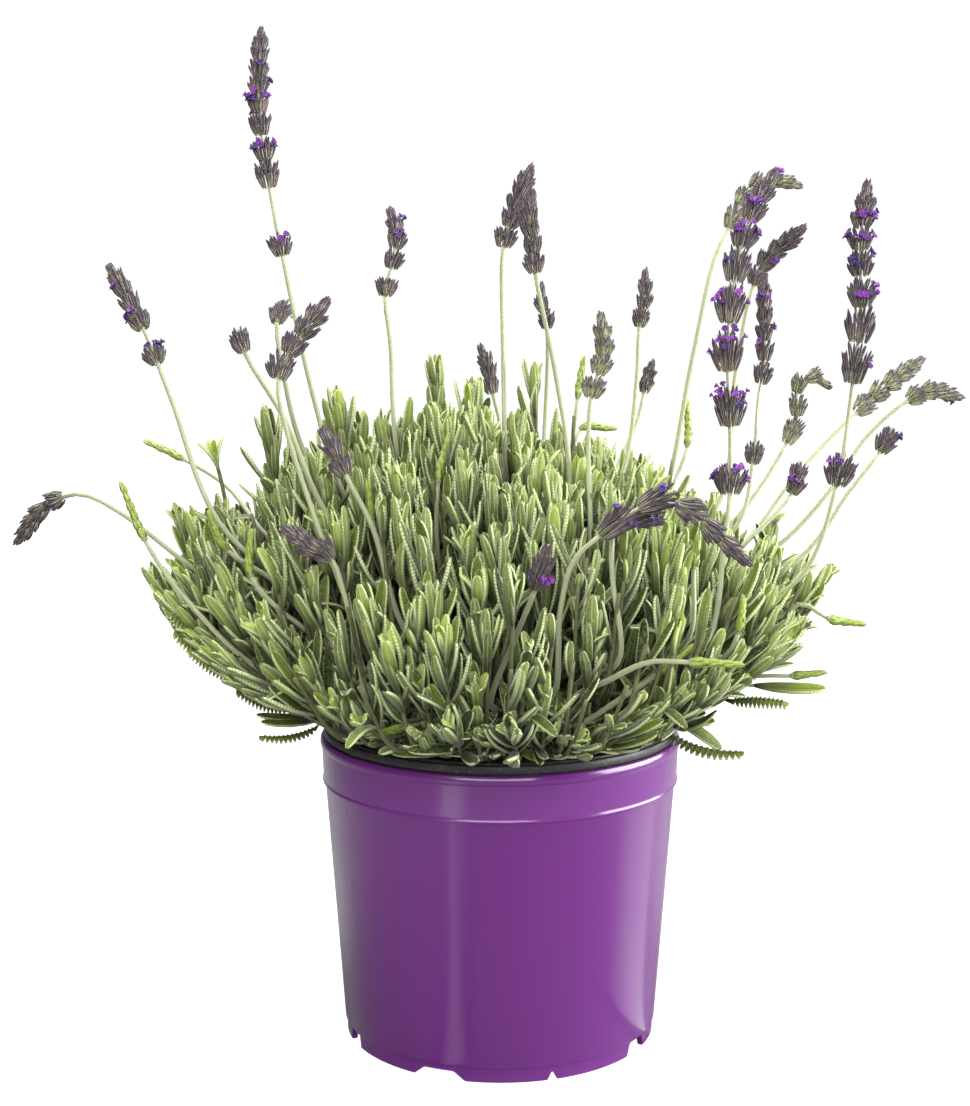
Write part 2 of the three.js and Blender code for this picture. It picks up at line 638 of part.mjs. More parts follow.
// A shoot's radius at each step: thin below, thick where the leaves crowd round it, pointed at its bud.
function shootRadii() {
  return [0, SHOOT_RADIUS, SHOOT_RADIUS * 1.5, TUFT_CORE_RADIUS, 0];
}

function growShoots(stems, thicket) {
  const radii = shootRadii();
  const shoots = [];
  for (let i = 0; i < SHOOT_COUNT; i += 1) {
    const direction = moundDirection(i, SHOOT_COUNT);
    const stem = nearestStems(stems, moundPoint(direction))[0];
    const tries = nudges(SHOOT_NUDGE, SHOOT_NUDGE_RINGS).map((nudge) => shootPath(stem, direction, nudge));
    const gapOf = (path) => {
      const points = sample(path, SHOOT_STEPS * 2);
      const free = points.slice(2).every((point) => clearsPot(point, SHOOT_RADIUS * 2));
      return free ? thicket.gap([stem.owner], sample(path, SHOOT_STEPS), radii) : -1;
    };
    const found = firstClear(tries, gapOf, 1);
    if (found.gap < CLEARANCE) continue;
    const path = found.attempt;
    thicket.add(stem.owner, sample(path, SHOOT_STEPS), radii);
    stem.solids.push(solidOf(loft(barLoops(path, radii, SHOOT_SIDES))));
    shoots.push({ index: i, stem, path });
  }
  return shoots;
}

// A leaf's middle line: out from the shoot, then curving upward to its blunt tip.
function leafLine(shoot, level, turn, length) {
  const share = LEAF_LOWEST + (LEAF_HIGHEST - LEAF_LOWEST) * level;
  const root = shoot.path.getPointAt(share);
  const along = shoot.path.getTangentAt(share);
  const out = along.clone().cross(LEAF_ZERO_TURN).normalize().applyAxisAngle(along, turn);
  const spread = length * THREE.MathUtils.lerp(LEAF_SPREAD_LOW, LEAF_SPREAD_HIGH, level);
  const rise = Math.sqrt(length * length - spread * spread) * 0.95;
  const middle = root.clone().addScaledVector(out, spread * 0.75).addScaledVector(along, rise * 0.35);
  const tip = root.clone().addScaledVector(out, spread).addScaledVector(along, rise);
  return { line: new THREE.QuadraticBezierCurve3(root, middle, tip), across: along.clone().cross(out) };
}

// A narrow leaf with a flat upper face, a keel under it and scalloped edges.
function leafBlade({ line, across }) {
  const loops = [];
  const rings = 2 * LEAF_LOBES;
  loops.push([line.getPoint(0)]);
  for (let k = 1; k < rings; k += 1) {
    const share = k / (rings - 1 + LEAF_TIP_SHARE);
    const centre = line.getPoint(share);
    const upper = line.getTangent(share).cross(across).normalize();
    const half = LEAF_HALF_WIDTH * (0.75 + 0.25 * share) * (k % 2 === 0 ? LEAF_NOTCH : 1);
    loops.push([
      centre.clone().addScaledVector(across, half).addScaledVector(upper, LEAF_LIFT),
      centre.clone().addScaledVector(across, -half).addScaledVector(upper, LEAF_LIFT),
      centre.clone().addScaledVector(upper, -LEAF_KEEL * (0.6 + 0.4 * share)),
    ]);
  }
  loops.push([line.getPoint(1)]);
  return solidOf(loft(loops));
}

// The tries for one leaf: as the rule has it, then turned a little either way, then shorter.
function leafTries(shoot, number, draw) {
  const level = number / (LEAVES_PER_SHOOT - 1);
  const turn = number * GOLDEN_ANGLE + shoot.index + 0.5 * draw();
  const length = LEAF_LENGTH * (0.9 + 0.2 * draw());
  const tries = [];
  for (const shorter of LEAF_SHORTER) {
    for (const twist of LEAF_TWISTS) {
      tries.push(leafLine(shoot, level, turn + twist, length * shorter));
    }
  }
  return tries;
}

function growLeaves(shoots, thicket) {
  const draw = seededDraw(SEED);
  for (let number = 0; number < LEAVES_PER_SHOOT; number += 1) {
    for (const shoot of shoots) {
      const gapOf = ({ line }) => {
        const points = sample(line, LEAF_BARS);
        const free = points.slice(1).every((point, k) => clearsPot(point, LEAF_BAR_RADII[k + 1]));
        if (!free) return -1;
        const outer = thicket.gap([], points.slice(2), LEAF_BAR_RADII.slice(2));
        return Math.min(outer, thicket.gap([shoot.stem.owner], points, LEAF_BAR_RADII));
      };
      const found = firstClear(leafTries(shoot, number, draw), gapOf, CLEARANCE);
      if (found.gap < CLEARANCE) continue;
      thicket.add(shoot.stem.owner, sample(found.attempt.line, LEAF_BARS), LEAF_BAR_RADII);
      shoot.stem.solids.push(leafBlade(found.attempt));
    }
  }
}

// A flower's way from its stem's crown, with a bow in its hidden part, through where it shows, to its tip.
function flowerRoute(stem, bow, shown, spike) {
  const knee = stem.crown.clone().lerp(shown[0], 0.5).add(bow);
  knee.z += STALK_KNEE_RISE;
  return new THREE.CatmullRomCurve3([forkPoint(stem), knee, ...shown, ...spike]);
}

// The part of a curve between two shares of its knots, as a curve of its own.
function portion(curve, from, to) {
  const points = [];
  for (let i = 0; i <= PORTION_POINTS; i += 1) {
    points.push(curve.getPoint(THREE.MathUtils.lerp(from, to, i / PORTION_POINTS)));
  }
  return new THREE.CatmullRomCurve3(points);
}

function stalkRadii(steps) {
  const radii = [0];
  for (let k = 1; k <= steps; k += 1) {
    radii.push(THREE.MathUtils.lerp(STALK_RADIUS, STALK_TIP_RADIUS, k / steps));
  }
  return radii;
}

// The two whorls of a green bud, which swell from its stalk's end: loops with the stalk's own sides.
function budLoops(curve) {
  const steps = BUD_RADII.length;
  const frames = curve.computeFrenetFrames(steps, false);
  return BUD_RADII.map((radius, k) => {
    const centre = curve.getPointAt((k + 1) / steps);
    return radius === 0 ? [centre] : loopRound(centre, frames, k + 1, () => radius, () => 0, STALK_SIDES);
  });
}

// Keeps the places of the stalks and heads that show, before anything is grown round them.
function reserve(flower, thicket) {
  const route = new THREE.CatmullRomCurve3([...flower.stalk, ...flower.spike].map(vector));
  const share = (flower.stalk.length - 1) / (flower.stalk.length + flower.spike.length - 1);
  const stalk = sample(portion(route, 0, share), STALK_STEPS);
  const head = sample(portion(route, share, 1), STALK_STEPS);
  thicket.add(`stalk ${flower.name}`, stalk, stalk.map(() => STALK_RADIUS));
  thicket.add(`head ${flower.name}`, head, head.map(() => (flower.reach ?? BUD_REACH) + CLEARANCE));
}

// Grows a flower's stalk from the nearest stem that leaves it a clear way, and gives the flower its route.
function growStalk(flower, stems, thicket) {
  const shown = flower.stalk.map(vector);
  const spike = flower.spike.map(vector);
  const share = (shown.length + 1) / (shown.length + spike.length + 1);
  const steps = STALK_HIDDEN_STEPS + shown.length;
  const radii = stalkRadii(steps);
  const bows = nudges(STALK_NUDGE, STALK_NUDGE_RINGS);
  const tries = nearestStems(stems, shown[0]).slice(0, STALK_STEM_CHOICES)
    .flatMap((stem) => bows.map((bow) => ({ stem, route: flowerRoute(stem, bow, shown, spike) })));
  const gapOf = ({ stem, route }) => {
    const points = sample(portion(route, 0, share), STALK_STEPS);
    const free = points.slice(2).every((point) => clearsPot(point, STALK_RADIUS));
    const own = [stem.owner, `stalk ${flower.name}`, `head ${flower.name}`];
    return free ? thicket.gap(own, points, points.map(() => STALK_RADIUS)) : -1;
  };
  const found = firstClear(tries, gapOf, CLEARANCE);
  const { stem, route } = found.attempt;
  const stalk = portion(route, 0, share);
  thicket.remove(`stalk ${flower.name}`);
  const points = sample(stalk, STALK_STEPS);
  thicket.add(stem.owner, points, points.map(() => STALK_RADIUS));
  const loops = barLoops(stalk, radii, STALK_SIDES);
  if (flower.reach === undefined) loops.push(...budLoops(portion(route, share, 1)));
  stem.solids.push(solidOf(loft(loops)));
  flower.headCurve = portion(route, share, 1);
}

// A spike of whorls along a curve. Each whorl's skin runs out to the points of its calyces and back to
// the neck above, and each whorl is turned by half a calyx from the one below.
function spikeSolid(curve, { whorls, reach, bare = null, calyces = 3 }) {
  const length = curve.getLength();
  const sides = 2 * calyces;
  const shareOf = (k) => {
    if (bare === null) return k / whorls;
    if (k === 0) return 0;
    return bare[1] + (1 - bare[1]) * (k - 1) / (whorls - 1);
  };
  const axisAt = (share) => curve.getPointAt(THREE.MathUtils.clamp(share, 0, 1));
  const steps = HEAD_STEPS;
  const frames = curve.computeFrenetFrames(steps, false);
  const ringAt = (share, radiusOf, liftOf) => {
    const k = Math.round(THREE.MathUtils.clamp(share, 0, 1) * steps);
    return loopRound(axisAt(share), frames, k, radiusOf, liftOf, sides);
  };
  const flat = () => 0;
  const neck = () => HEAD_NECK_RADIUS;
  const loops = [];
  for (let k = 0; k < whorls; k += 1) {
    const share = shareOf(k);
    const next = k === whorls - 1 ? 1 : shareOf(k + 1);
    const pitch = bare !== null && k === 0 ? bare[0] * length : (next - share) * length;
    const size = reach * (1 - HEAD_TAPER * (k / whorls) ** 2);
    const isPoint = (i) => i % 2 === k % 2;
    const radiusOf = (i) => (isPoint(i) ? size : size * VALLEY_REACH);
    const liftOf = (i) => (isPoint(i) ? pitch * CALYX_LIFT : pitch * VALLEY_LIFT);
    loops.push(ringAt(share, neck, flat));
    loops.push(ringAt(share, radiusOf, liftOf));
    if (bare !== null && k === 0) loops.push(ringAt(bare[0], neck, flat));
  }
  loops.push([axisAt(1).addScaledVector(frames.tangents[steps], reach * HEAD_TIP)]);
  return solidOf(loft(loops));
}

// A flower's head, a small gap above its stalk's end.
function flowerHead(flower) {
  const gapShare = HEAD_GAP / flower.headCurve.getLength();
  const points = flower.headCurve.getSpacedPoints(PORTION_POINTS);
  points[0] = flower.headCurve.getPointAt(gapShare);
  return spikeSolid(new THREE.CatmullRomCurve3(points), flower);
}

function growPlant() {
  const stems = planStems();
  const thicket = new Thicket();
  for (const flower of [...FLOWERS, ...BUDS]) reserve(flower, thicket);
  for (const stem of stems) {
    thicket.add(stem.owner, [stem.foot, stem.crown], [TRUNK_RADIUS, TRUNK_RADIUS]);
    stem.solids.push(trunk(stem));
  }
  const shoots = growShoots(stems, thicket);
  for (const flower of [...FLOWERS, ...BUDS]) growStalk(flower, stems, thicket);
  growLeaves(shoots, thicket);
  return stems;
}

function paint(colour, roughness) {
  return new THREE.MeshStandardMaterial({ color: colour, roughness, metalness: 0 });
}

function named(name, solid, material) {
  const mesh = new THREE.Mesh(geometryOf(oneBody(solid)), material);
  mesh.name = name;
  return mesh;
}

function twoDigits(number) {
  return String(number).padStart(2, '0');
}

const object = new THREE.Group();
const stems = growPlant();
object.add(named('pot', purplePot(), paint(0x7a3c8c, 0.3)));
object.add(named('liner', growingPot(), paint(0x17171a, 0.5)));
object.add(named('soil', soilPlug(stems), paint(0x2a211b, 1)));
stems.forEach((stem, i) => {
  const body = wasm.Manifold.union(stem.solids);
  object.add(named(`leafy_stem_${twoDigits(i + 1)}`, body, paint(0x8a9a72, 0.8)));
});
for (const flower of FLOWERS) {
  object.add(named(`flower_head_${flower.name}`, flowerHead(flower), paint(0x4b4350, 0.85)));
}

export default object;
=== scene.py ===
import math

import bmesh
import bpy
from mathutils import Matrix, Vector, kdtree


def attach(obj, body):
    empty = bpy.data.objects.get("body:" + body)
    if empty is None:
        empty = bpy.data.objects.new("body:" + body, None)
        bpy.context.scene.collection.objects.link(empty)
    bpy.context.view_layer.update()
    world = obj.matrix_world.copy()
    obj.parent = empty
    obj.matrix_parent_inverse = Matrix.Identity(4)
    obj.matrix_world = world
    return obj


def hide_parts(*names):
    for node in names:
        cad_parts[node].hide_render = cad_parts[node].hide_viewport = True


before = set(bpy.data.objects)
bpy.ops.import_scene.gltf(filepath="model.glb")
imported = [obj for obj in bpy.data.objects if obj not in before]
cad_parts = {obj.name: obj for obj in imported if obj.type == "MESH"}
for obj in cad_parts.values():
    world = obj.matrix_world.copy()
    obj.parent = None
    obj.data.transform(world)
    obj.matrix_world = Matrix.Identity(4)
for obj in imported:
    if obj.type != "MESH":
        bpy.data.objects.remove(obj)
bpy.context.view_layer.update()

# ---------------------------------------------------------------- camera
# The photograph was taken a little above the leaves, looking slightly down at the pot.
CAMERA_PLACE = (0.0, -0.708, 0.282)
CAMERA_DOWN = 8.54
CAMERA_LEFT = 0.44
CAMERA_LENS = 65.1


def object_mode():
    bpy.ops.object.mode_set(mode="OBJECT")


def pick_none():
    if bpy.context.object is not None and bpy.context.object.mode != "OBJECT":
        object_mode()
    bpy.ops.object.select_all(action="DESELECT")


pick_none()
bpy.ops.object.camera_add(location=CAMERA_PLACE)
camera = bpy.context.object
camera.name = "camera"
camera.rotation_euler = (math.radians(90 - CAMERA_DOWN), 0, math.radians(CAMERA_LEFT))
camera.data.sensor_fit = "VERTICAL"
camera.data.sensor_height = 36
camera.data.lens = CAMERA_LENS
camera.data.clip_start = 0.01
bpy.context.scene.camera = camera
bpy.context.scene.view_settings.view_transform = "Standard"

# ---------------------------------------------------------------- studio
# A wide white table top in a plain white room. One wide soft box stands in front, one at the right, one
# behind at the left and one hangs above. Two glowing cards on the table show only in the pot's gloss.
ROOM_DIM = 0.08
ROOM_BRIGHT = 1.1
ROOM_SEEN = 1.05
PAPER_GREY = (0.20, 0.20, 0.20)
WHITE = (1, 1, 1)
BLACK = (0, 0, 0)
CARD_HEIGHT = 0.002


def give(tree, socket, value):
    """Links another node's output to a socket, or sets the socket's own value; a colour is a plain triple."""
    if isinstance(value, bpy.types.NodeSocket):
        tree.links.new(value, socket)
    else:
        socket.default_value = (*value, 1) if socket.type == "RGBA" else value


def add_node(tree, kind, inputs=None):
    """A shader node with some of its inputs given, by name or number."""
    node = tree.nodes.new("ShaderNode" + kind)
    for key, value in (inputs or {}).items():
        give(tree, node.inputs[key], value)
    return node


def new_material(name):
    material = bpy.data.materials.new(name)
    material.use_nodes = True
    return material, material.node_tree


def give_body(tree, inputs):
    """Gives inputs of a material's own shader."""
    for key, value in inputs.items():
        give(tree, tree.nodes["Principled BSDF"].inputs[key], value)


def seen_or_not(tree, unseen, seen):
    """One shader for the camera and another for all other rays."""
    camera_ray = add_node(tree, "LightPath").outputs["Is Camera Ray"]
    return add_node(tree, "MixShader", {0: camera_ray, 1: unseen, 2: seen}).outputs["Shader"]


def curved(tree, value, stops):
    """A grey ramp through (position, level) stops."""
    ramp = add_node(tree, "ValToRGB", {"Fac": value})
    elements = ramp.color_ramp.elements
    for element, (position, level) in zip(elements, (stops[0], stops[-1])):
        element.position = position
        element.color = (level, level, level, 1)
    for position, level in stops[1:-1]:
        elements.new(position).color = (level, level, level, 1)
    return ramp.outputs["Color"]


def map_axes(tree):
    """The two directions of the piece's own map, both from 0 to 1."""
    own_map = add_node(tree, "UVMap")
    own_map.uv_map = "UVMap"
    split = add_node(tree, "SeparateXYZ", {"Vector": own_map.outputs["UV"]})
    return split.outputs["X"], split.outputs["Y"]


world = bpy.data.worlds.new("white_room")
bpy.context.scene.world = world
world.use_nodes = True
tree = world.node_tree
# The room is bright behind the plant on the right, and dimmer everywhere else.
toward_window = add_node(tree, "VectorMath", {0: add_node(tree, "TexCoord").outputs["Generated"],
                                              1: (0.6, 0.8, 0)})
toward_window.operation = "DOT_PRODUCT"
brightness = add_node(tree, "MapRange", {"Value": toward_window.outputs["Value"], "From Min": 0.5,
                                         "From Max": 1.0, "To Min": ROOM_DIM, "To Max": ROOM_BRIGHT})
brightness.interpolation_type = "SMOOTHSTEP"
room = tree.nodes["Background"]
give(tree, room.inputs["Color"], WHITE)
give(tree, room.inputs["Strength"], brightness.outputs["Result"])
seen = add_node(tree, "Background", {"Color": WHITE, "Strength": ROOM_SEEN})
give(tree, tree.nodes["World Output"].inputs["Surface"],
     seen_or_not(tree, room.outputs["Background"], seen.outputs["Background"]))

pick_none()
bpy.ops.mesh.primitive_plane_add(size=14)
floor = bpy.context.object
floor.name = "table_top"
paper, tree = new_material("matt_white")
give_body(tree, {"Base Color": PAPER_GREY, "Roughness": 0.9, "Specular IOR Level": 0.2})
# The white paper glows for the picture alone, so that it never turns grey.
dark = add_node(tree, "Emission", {"Strength": 0.0})
glow = add_node(tree, "Emission", {"Strength": 1.0})
both = add_node(tree, "AddShader", {0: tree.nodes["Principled BSDF"].outputs["BSDF"],
                                    1: seen_or_not(tree, dark.outputs["Emission"], glow.outputs["Emission"])})
give(tree, tree.nodes["Material Output"].inputs["Surface"], both.outputs["Shader"])
floor.data.materials.append(paper)


def soft_box(name, place, aim, width, height, watts):
    """A rectangular soft light that faces a point."""
    bpy.ops.object.light_add(type="AREA", location=place)
    lamp = bpy.context.object
    lamp.name = name
    lamp.data.shape = "RECTANGLE"
    lamp.data.size = width
    lamp.data.size_y = height
    lamp.data.energy = watts
    lamp.visible_camera = False
    lamp.rotation_euler = (Vector(aim) - Vector(place)).to_track_quat("-Z", "Y").to_euler()


soft_box("key_front", place=(-0.08, -1.35, 0.78), aim=(0, 0, 0.17), width=1.3, height=0.8, watts=41)
soft_box("soft_box_right", place=(1.25, 0.05, 0.42), aim=(0, 0, 0.10), width=1.3, height=0.8, watts=60)
soft_box("soft_box_left", place=(-0.8, 1.0, 1.6), aim=(0, 0, 0.2), width=0.6, height=0.6, watts=27)
soft_box("soft_box_top", place=(-0.15, 0.2, 1.25), aim=(0, 0, 0.2), width=0.5, height=0.5, watts=24)


def settle():
    """Makes the active piece's place, turn and size part of its mesh."""
    bpy.ops.object.transform_apply(location=True, rotation=True, scale=True)


def edit(action="SELECT"):
    """Edit mode with everything selected, or nothing."""
    bpy.ops.object.mode_set(mode="EDIT")
    bpy.ops.mesh.select_all(action=action)


def edit_points(piece, wanted):
    """Edit mode on the active piece, with only its wanted vertices selected."""
    edit("DESELECT")
    object_mode()
    for vertex in piece.data.vertices:
        vertex.select = wanted(vertex)
    bpy.ops.object.mode_set(mode="EDIT")


def light_card(name, near, way, reach, near_width, far_width, strength, near_level, fade):
    """A glowing card flat on the table: it widens away from the pot and fades across."""
    pick_none()
    bpy.ops.mesh.primitive_plane_add(size=1)
    card = bpy.context.object
    card.name = name
    card.scale = (near_width, reach, 1)
    card.location = (0, reach / 2, 0)
    settle()
    edit_points(card, lambda vertex: vertex.co.y > reach / 2)
    bpy.ops.transform.resize(value=(far_width / near_width, 1, 1), center_override=(0, reach, 0))
    object_mode()
    card.rotation_euler = (0, 0, math.atan2(way[1], way[0]) - math.pi / 2)
    card.location = (near[0], near[1], CARD_HEIGHT)
    settle()
    light, tree = new_material(name + "_glow")
    across, along = map_axes(tree)
    level = add_node(tree, "MapRange", {"Value": along, "From Max": 0.5, "To Min": strength * near_level,
                                        "To Max": strength})
    give_body(tree, {"Base Color": BLACK, "Emission Color": curved(tree, across, fade),
                     "Emission Strength": level.outputs["Result"]})
    card.data.materials.append(light)
    card.visible_camera = False


light_card("card_left", near=(-0.0177, -0.0571), way=(-0.470, -0.883), reach=0.355, near_width=0.013,
           far_width=0.13, strength=3.3, near_level=0.3, fade=[(0, 0), (0.35, 1), (0.65, 1), (1, 0)])
light_card("card_right", near=(0.0615, -0.030), way=(0.89, 0.45), reach=0.22, near_width=0.03,
           far_width=0.16, strength=1.35, near_level=1.0, fade=[(0, 1), (0.3, 0.8), (1, 0)])

# ---------------------------------------------------------------- purple pot
# The outer pot: thin glossy polypropylene, injection moulded, with a rolled lip over a slightly wider band,
# a foot ring cut by notches and drain holes in its floor. Everything turned is one profile spun round.
MM = 0.001
POT_SIDES = 144
AXIS_RING = 4 * MM
RIM_RADIUS = 65 * MM
POT_HEIGHT = 110.5 * MM
POT_WALL = 1.3 * MM
BAND_BOTTOM = 94.5 * MM
BAND_RADIUS = 64 * MM
BODY_TOP_RADIUS = 63.3 * MM
FOOT_RADIUS = 56.2 * MM
FOOT_HEIGHT = 5 * MM
BODY_BOTTOM_RADIUS = 56.9 * MM
FOOT_INNER = 54.0 * MM
POT_UNDERSIDE = 5.7 * MM
POT_FLOOR_TOP = 7.5 * MM
DRAIN_RING = 38 * MM
DRAIN_HOLES = 6
SMOOTH_BELOW = 32
# Notches in the foot ring: azimuth in degrees, then width at the bottom, width at the top and height in
# millimetres.
FOOT_NOTCHES = [(-157, 11, 8, 4.9), (-112, 22, 11, 3.4), (-71, 5, 1, 3.0), (-30, 14, 9, 4.9), (0, 7, 5, 3),
                (45, 11, 8, 3), (90, 11, 8, 3), (135, 11, 8, 3), (180, 7, 5, 3)]


def pick_only(piece):
    pick_none()
    piece.select_set(True)
    bpy.context.view_layer.objects.active = piece


def modified(piece, kind, **settings):
    """Changes a piece with a modifier, which is applied at once."""
    pick_only(piece)
    modifier = piece.modifiers.new(kind.lower(), kind)
    for name, value in settings.items():
        setattr(modifier, name, value)
    bpy.ops.object.modifier_apply(modifier=modifier.name)


def around(radius, height, steps):
    """Points of a profile round one of its corners; the steps from the corner are millimetres."""
    return [(radius + out * MM, height + up * MM) for out, up in steps]


def turned(name, profile, sides):
    """A closed turned body. The profile of (radius, height) starts and ends on small rings at the axis."""
    pick_none()
    radius, height = profile[0]
    bpy.ops.mesh.primitive_circle_add(vertices=sides, radius=radius, fill_type="NOTHING",
                                      location=(0, 0, height))
    piece = bpy.context.object
    piece.name = name
    settle()
    edit()
    bpy.ops.mesh.extrude_edges_move(TRANSFORM_OT_translate={"value": (0, 0, 0)})
    bpy.ops.mesh.merge(type="CENTER")
    edit_points(piece, lambda vertex: vertex.co.xy.length > profile[0][0] * 0.5)
    for next_radius, next_height in profile[1:]:
        bpy.ops.mesh.extrude_edges_move(TRANSFORM_OT_translate={"value": (0, 0, next_height - height)})
        share = next_radius / radius
        bpy.ops.transform.resize(value=(share, share, 1), center_override=(0, 0, next_height))
        radius, height = next_radius, next_height
    bpy.ops.mesh.extrude_edges_move(TRANSFORM_OT_translate={"value": (0, 0, 0)})
    bpy.ops.mesh.merge(type="CENTER")
    bpy.ops.mesh.select_all(action="SELECT")
    bpy.ops.mesh.remove_doubles(threshold=1e-6)
    bpy.ops.mesh.normals_make_consistent(inside=False)
    object_mode()
    return piece


def joined(pieces, into):
    """Makes one piece of several, in the coordinates of one of them."""
    pick_none()
    for piece in pieces:
        piece.select_set(True)
    bpy.context.view_layer.objects.active = into
    bpy.ops.object.join()
    return bpy.context.object


def cut_away(piece, cutter):
    """Takes the cutter's shape out of the piece and throws the cutter away."""
    modified(piece, "BOOLEAN", operation="DIFFERENCE", solver="EXACT", use_self=True, object=cutter)
    bpy.data.objects.remove(cutter)


def drain_cutter(radius, bottom, top):
    """Upright rods that make the drain holes."""
    rods = []
    for i in range(DRAIN_HOLES):
        azimuth = math.radians(360 / DRAIN_HOLES * i + 30)
        pick_none()
        bpy.ops.mesh.primitive_cylinder_add(
            vertices=24, radius=radius, depth=top - bottom,
            location=(DRAIN_RING * math.cos(azimuth), DRAIN_RING * math.sin(azimuth), (top + bottom) / 2))
        rods.append(bpy.context.object)
    cutter = joined(rods, rods[-1])
    settle()
    return cutter


def finish_shading(piece, angle=SMOOTH_BELOW):
    pick_only(piece)
    bpy.ops.object.shade_smooth_by_angle(angle=math.radians(angle))


pot_profile = (
    [(AXIS_RING, POT_UNDERSIDE)]
    + around(FOOT_INNER, POT_UNDERSIDE, [(-1.2, 0), (0, -0.8)])
    + around(FOOT_INNER, 0, [(0, 0.35), (0.4, 0)])
    + around(FOOT_RADIUS, 0, [(-0.5, 0), (0, 0.5)])
    + around(FOOT_RADIUS, FOOT_HEIGHT, [(0, -0.1), (0.15, 0.15)])
    + around(BODY_BOTTOM_RADIUS, FOOT_HEIGHT, [(-0.25, 0.3), (0, 0.75)])
    + around(BODY_TOP_RADIUS, BAND_BOTTOM, [(0, -0.6), (0.1, -0.45)])
    + around(BAND_RADIUS, BAND_BOTTOM, [(0.2, -0.25), (0.32, 0.1), (0.28, 0.35), (-0.02, 0.95), (0, 1.4)])
    + around(RIM_RADIUS, POT_HEIGHT, [(-0.6, -3.6), (-0.15, -3.1), (0, -2.4), (-0.05, -1.2), (-0.5, -0.35),
                                      (-1.3, 0), (-2.2, -0.15), (-2.5, -0.8)])
    + [(BODY_TOP_RADIUS - POT_WALL, BAND_BOTTOM)]
    + around(BODY_BOTTOM_RADIUS - POT_WALL, POT_FLOOR_TOP, [(0.15, 0.8), (-0.6, 0)])
    + [(AXIS_RING, POT_FLOOR_TOP)])
pot = turned("purple_pot", pot_profile, POT_SIDES)

notch_blocks = []
for azimuth_degrees, width, top_width, height in FOOT_NOTCHES:
    pick_none()
    bpy.ops.mesh.primitive_cube_add(size=1, location=(0, 0, 0))
    block = bpy.context.object
    block.scale = (12 * MM, width * MM, (height + 1) * MM)
    block.location = (FOOT_RADIUS, 0, (height - 1) / 2 * MM)
    settle()
    edit_points(block, lambda vertex: vertex.co.z > 0)
    bpy.ops.transform.resize(value=(1, top_width / width, 1), center_override=(FOOT_RADIUS, 0, height * MM))
    object_mode()
    modified(block, "BEVEL", width=min(0.7, top_width * 0.3) * MM, segments=3)
    block.rotation_euler = (0, 0, math.radians(azimuth_degrees))
    settle()
    notch_blocks.append(block)
cut_away(pot, joined(notch_blocks, notch_blocks[0]))
cut_away(pot, drain_cutter(5 * MM, 0, 9 * MM))
finish_shading(pot)


def own_place(tree):
    return add_node(tree, "TexCoord").outputs["Object"]


def mixed(tree, share, first, second):
    """A colour mix whose share and sides are plain values or other nodes' outputs."""
    mix = tree.nodes.new("ShaderNodeMix")
    mix.data_type = "RGBA"
    give(tree, mix.inputs["Factor"], share)
    for key, side in (("A", first), ("B", second)):
        give(tree, [socket for socket in mix.inputs if socket.name == key and socket.type == "RGBA"][0], side)
    return [socket for socket in mix.outputs if socket.type == "RGBA"][0]


def noise_at(tree, place, scale, detail):
    return add_node(tree, "TexNoise", {"Vector": place, "Scale": scale, "Detail": detail}).outputs["Fac"]


def bumped(tree, height, strength, distance):
    relief = {"Height": height, "Strength": strength, "Distance": distance}
    return add_node(tree, "Bump", relief).outputs["Normal"]


def cover(piece, material):
    piece.data.materials.clear()
    piece.data.materials.append(material)


# Dull spots: fine dust and handling haze on plastic, as a mask over the piece's own coordinates.
haze_group = bpy.data.node_groups.new("handling_haze", "ShaderNodeTree")
for name in ("Size", "Low", "High"):
    haze_group.interface.new_socket(name, in_out="INPUT", socket_type="NodeSocketFloat")
haze_group.interface.new_socket("Value", in_out="OUTPUT", socket_type="NodeSocketFloat")
haze_in = haze_group.nodes.new("NodeGroupInput").outputs
haze_out = haze_group.nodes.new("NodeGroupOutput").inputs
dust = noise_at(haze_group, own_place(haze_group), haze_in["Size"], 6)
haze_range = add_node(haze_group, "MapRange", {"Value": dust, "From Min": 0.35, "From Max": 0.7,
                                               "To Min": haze_in["Low"], "To Max": haze_in["High"]})
give(haze_group, haze_out["Value"], haze_range.outputs["Result"])


def hazy(tree, size, low, high):
    """Uneven roughness, from the shared haze."""
    haze = add_node(tree, "Group")
    haze.node_tree = haze_group
    for name, value in (("Size", size), ("Low", low), ("High", high)):
        haze.inputs[name].default_value = value
    return haze.outputs["Value"]


# Glossy purple plastic: an even moulded colour with soft flow clouds, a faint orange-peel and handling haze.
purple, tree = new_material("glossy_purple_plastic")
place = own_place(tree)
flow = noise_at(tree, place, 9, 2)
give_body(tree, {"Base Color": mixed(tree, flow, (0.092, 0.015, 0.125), (0.100, 0.017, 0.136)),
                 "Roughness": hazy(tree, 55, 0.20, 0.27), "Specular IOR Level": 0.34,
                 "Coat Weight": 0.2, "Coat Roughness": 0.10,
                 "Normal": bumped(tree, noise_at(tree, place, 260, 2), 0.08, 0.0002)})
cover(pot, purple)
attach(pot, "root")
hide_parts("pot")

# ---------------------------------------------------------------- black growing pot
# The nursery pot the plant grew in: thin black plastic that hangs inside the purple one; only its broad
# rim shows, with a low bead along the middle of its top.
LINER_FLOOR = 7.8 * MM
LINER_FLOOR_TOP = 9.2 * MM
LINER_SEAT = 110.8 * MM
LINER_TOP = 114.5 * MM
LINER_NECK = 107.5 * MM
LINER_OUTER = 63.8 * MM
LINER_INNER = 59.2 * MM
LINER_WALL = 1.0 * MM
LINER_SIDE_GAP = 0.45 * MM


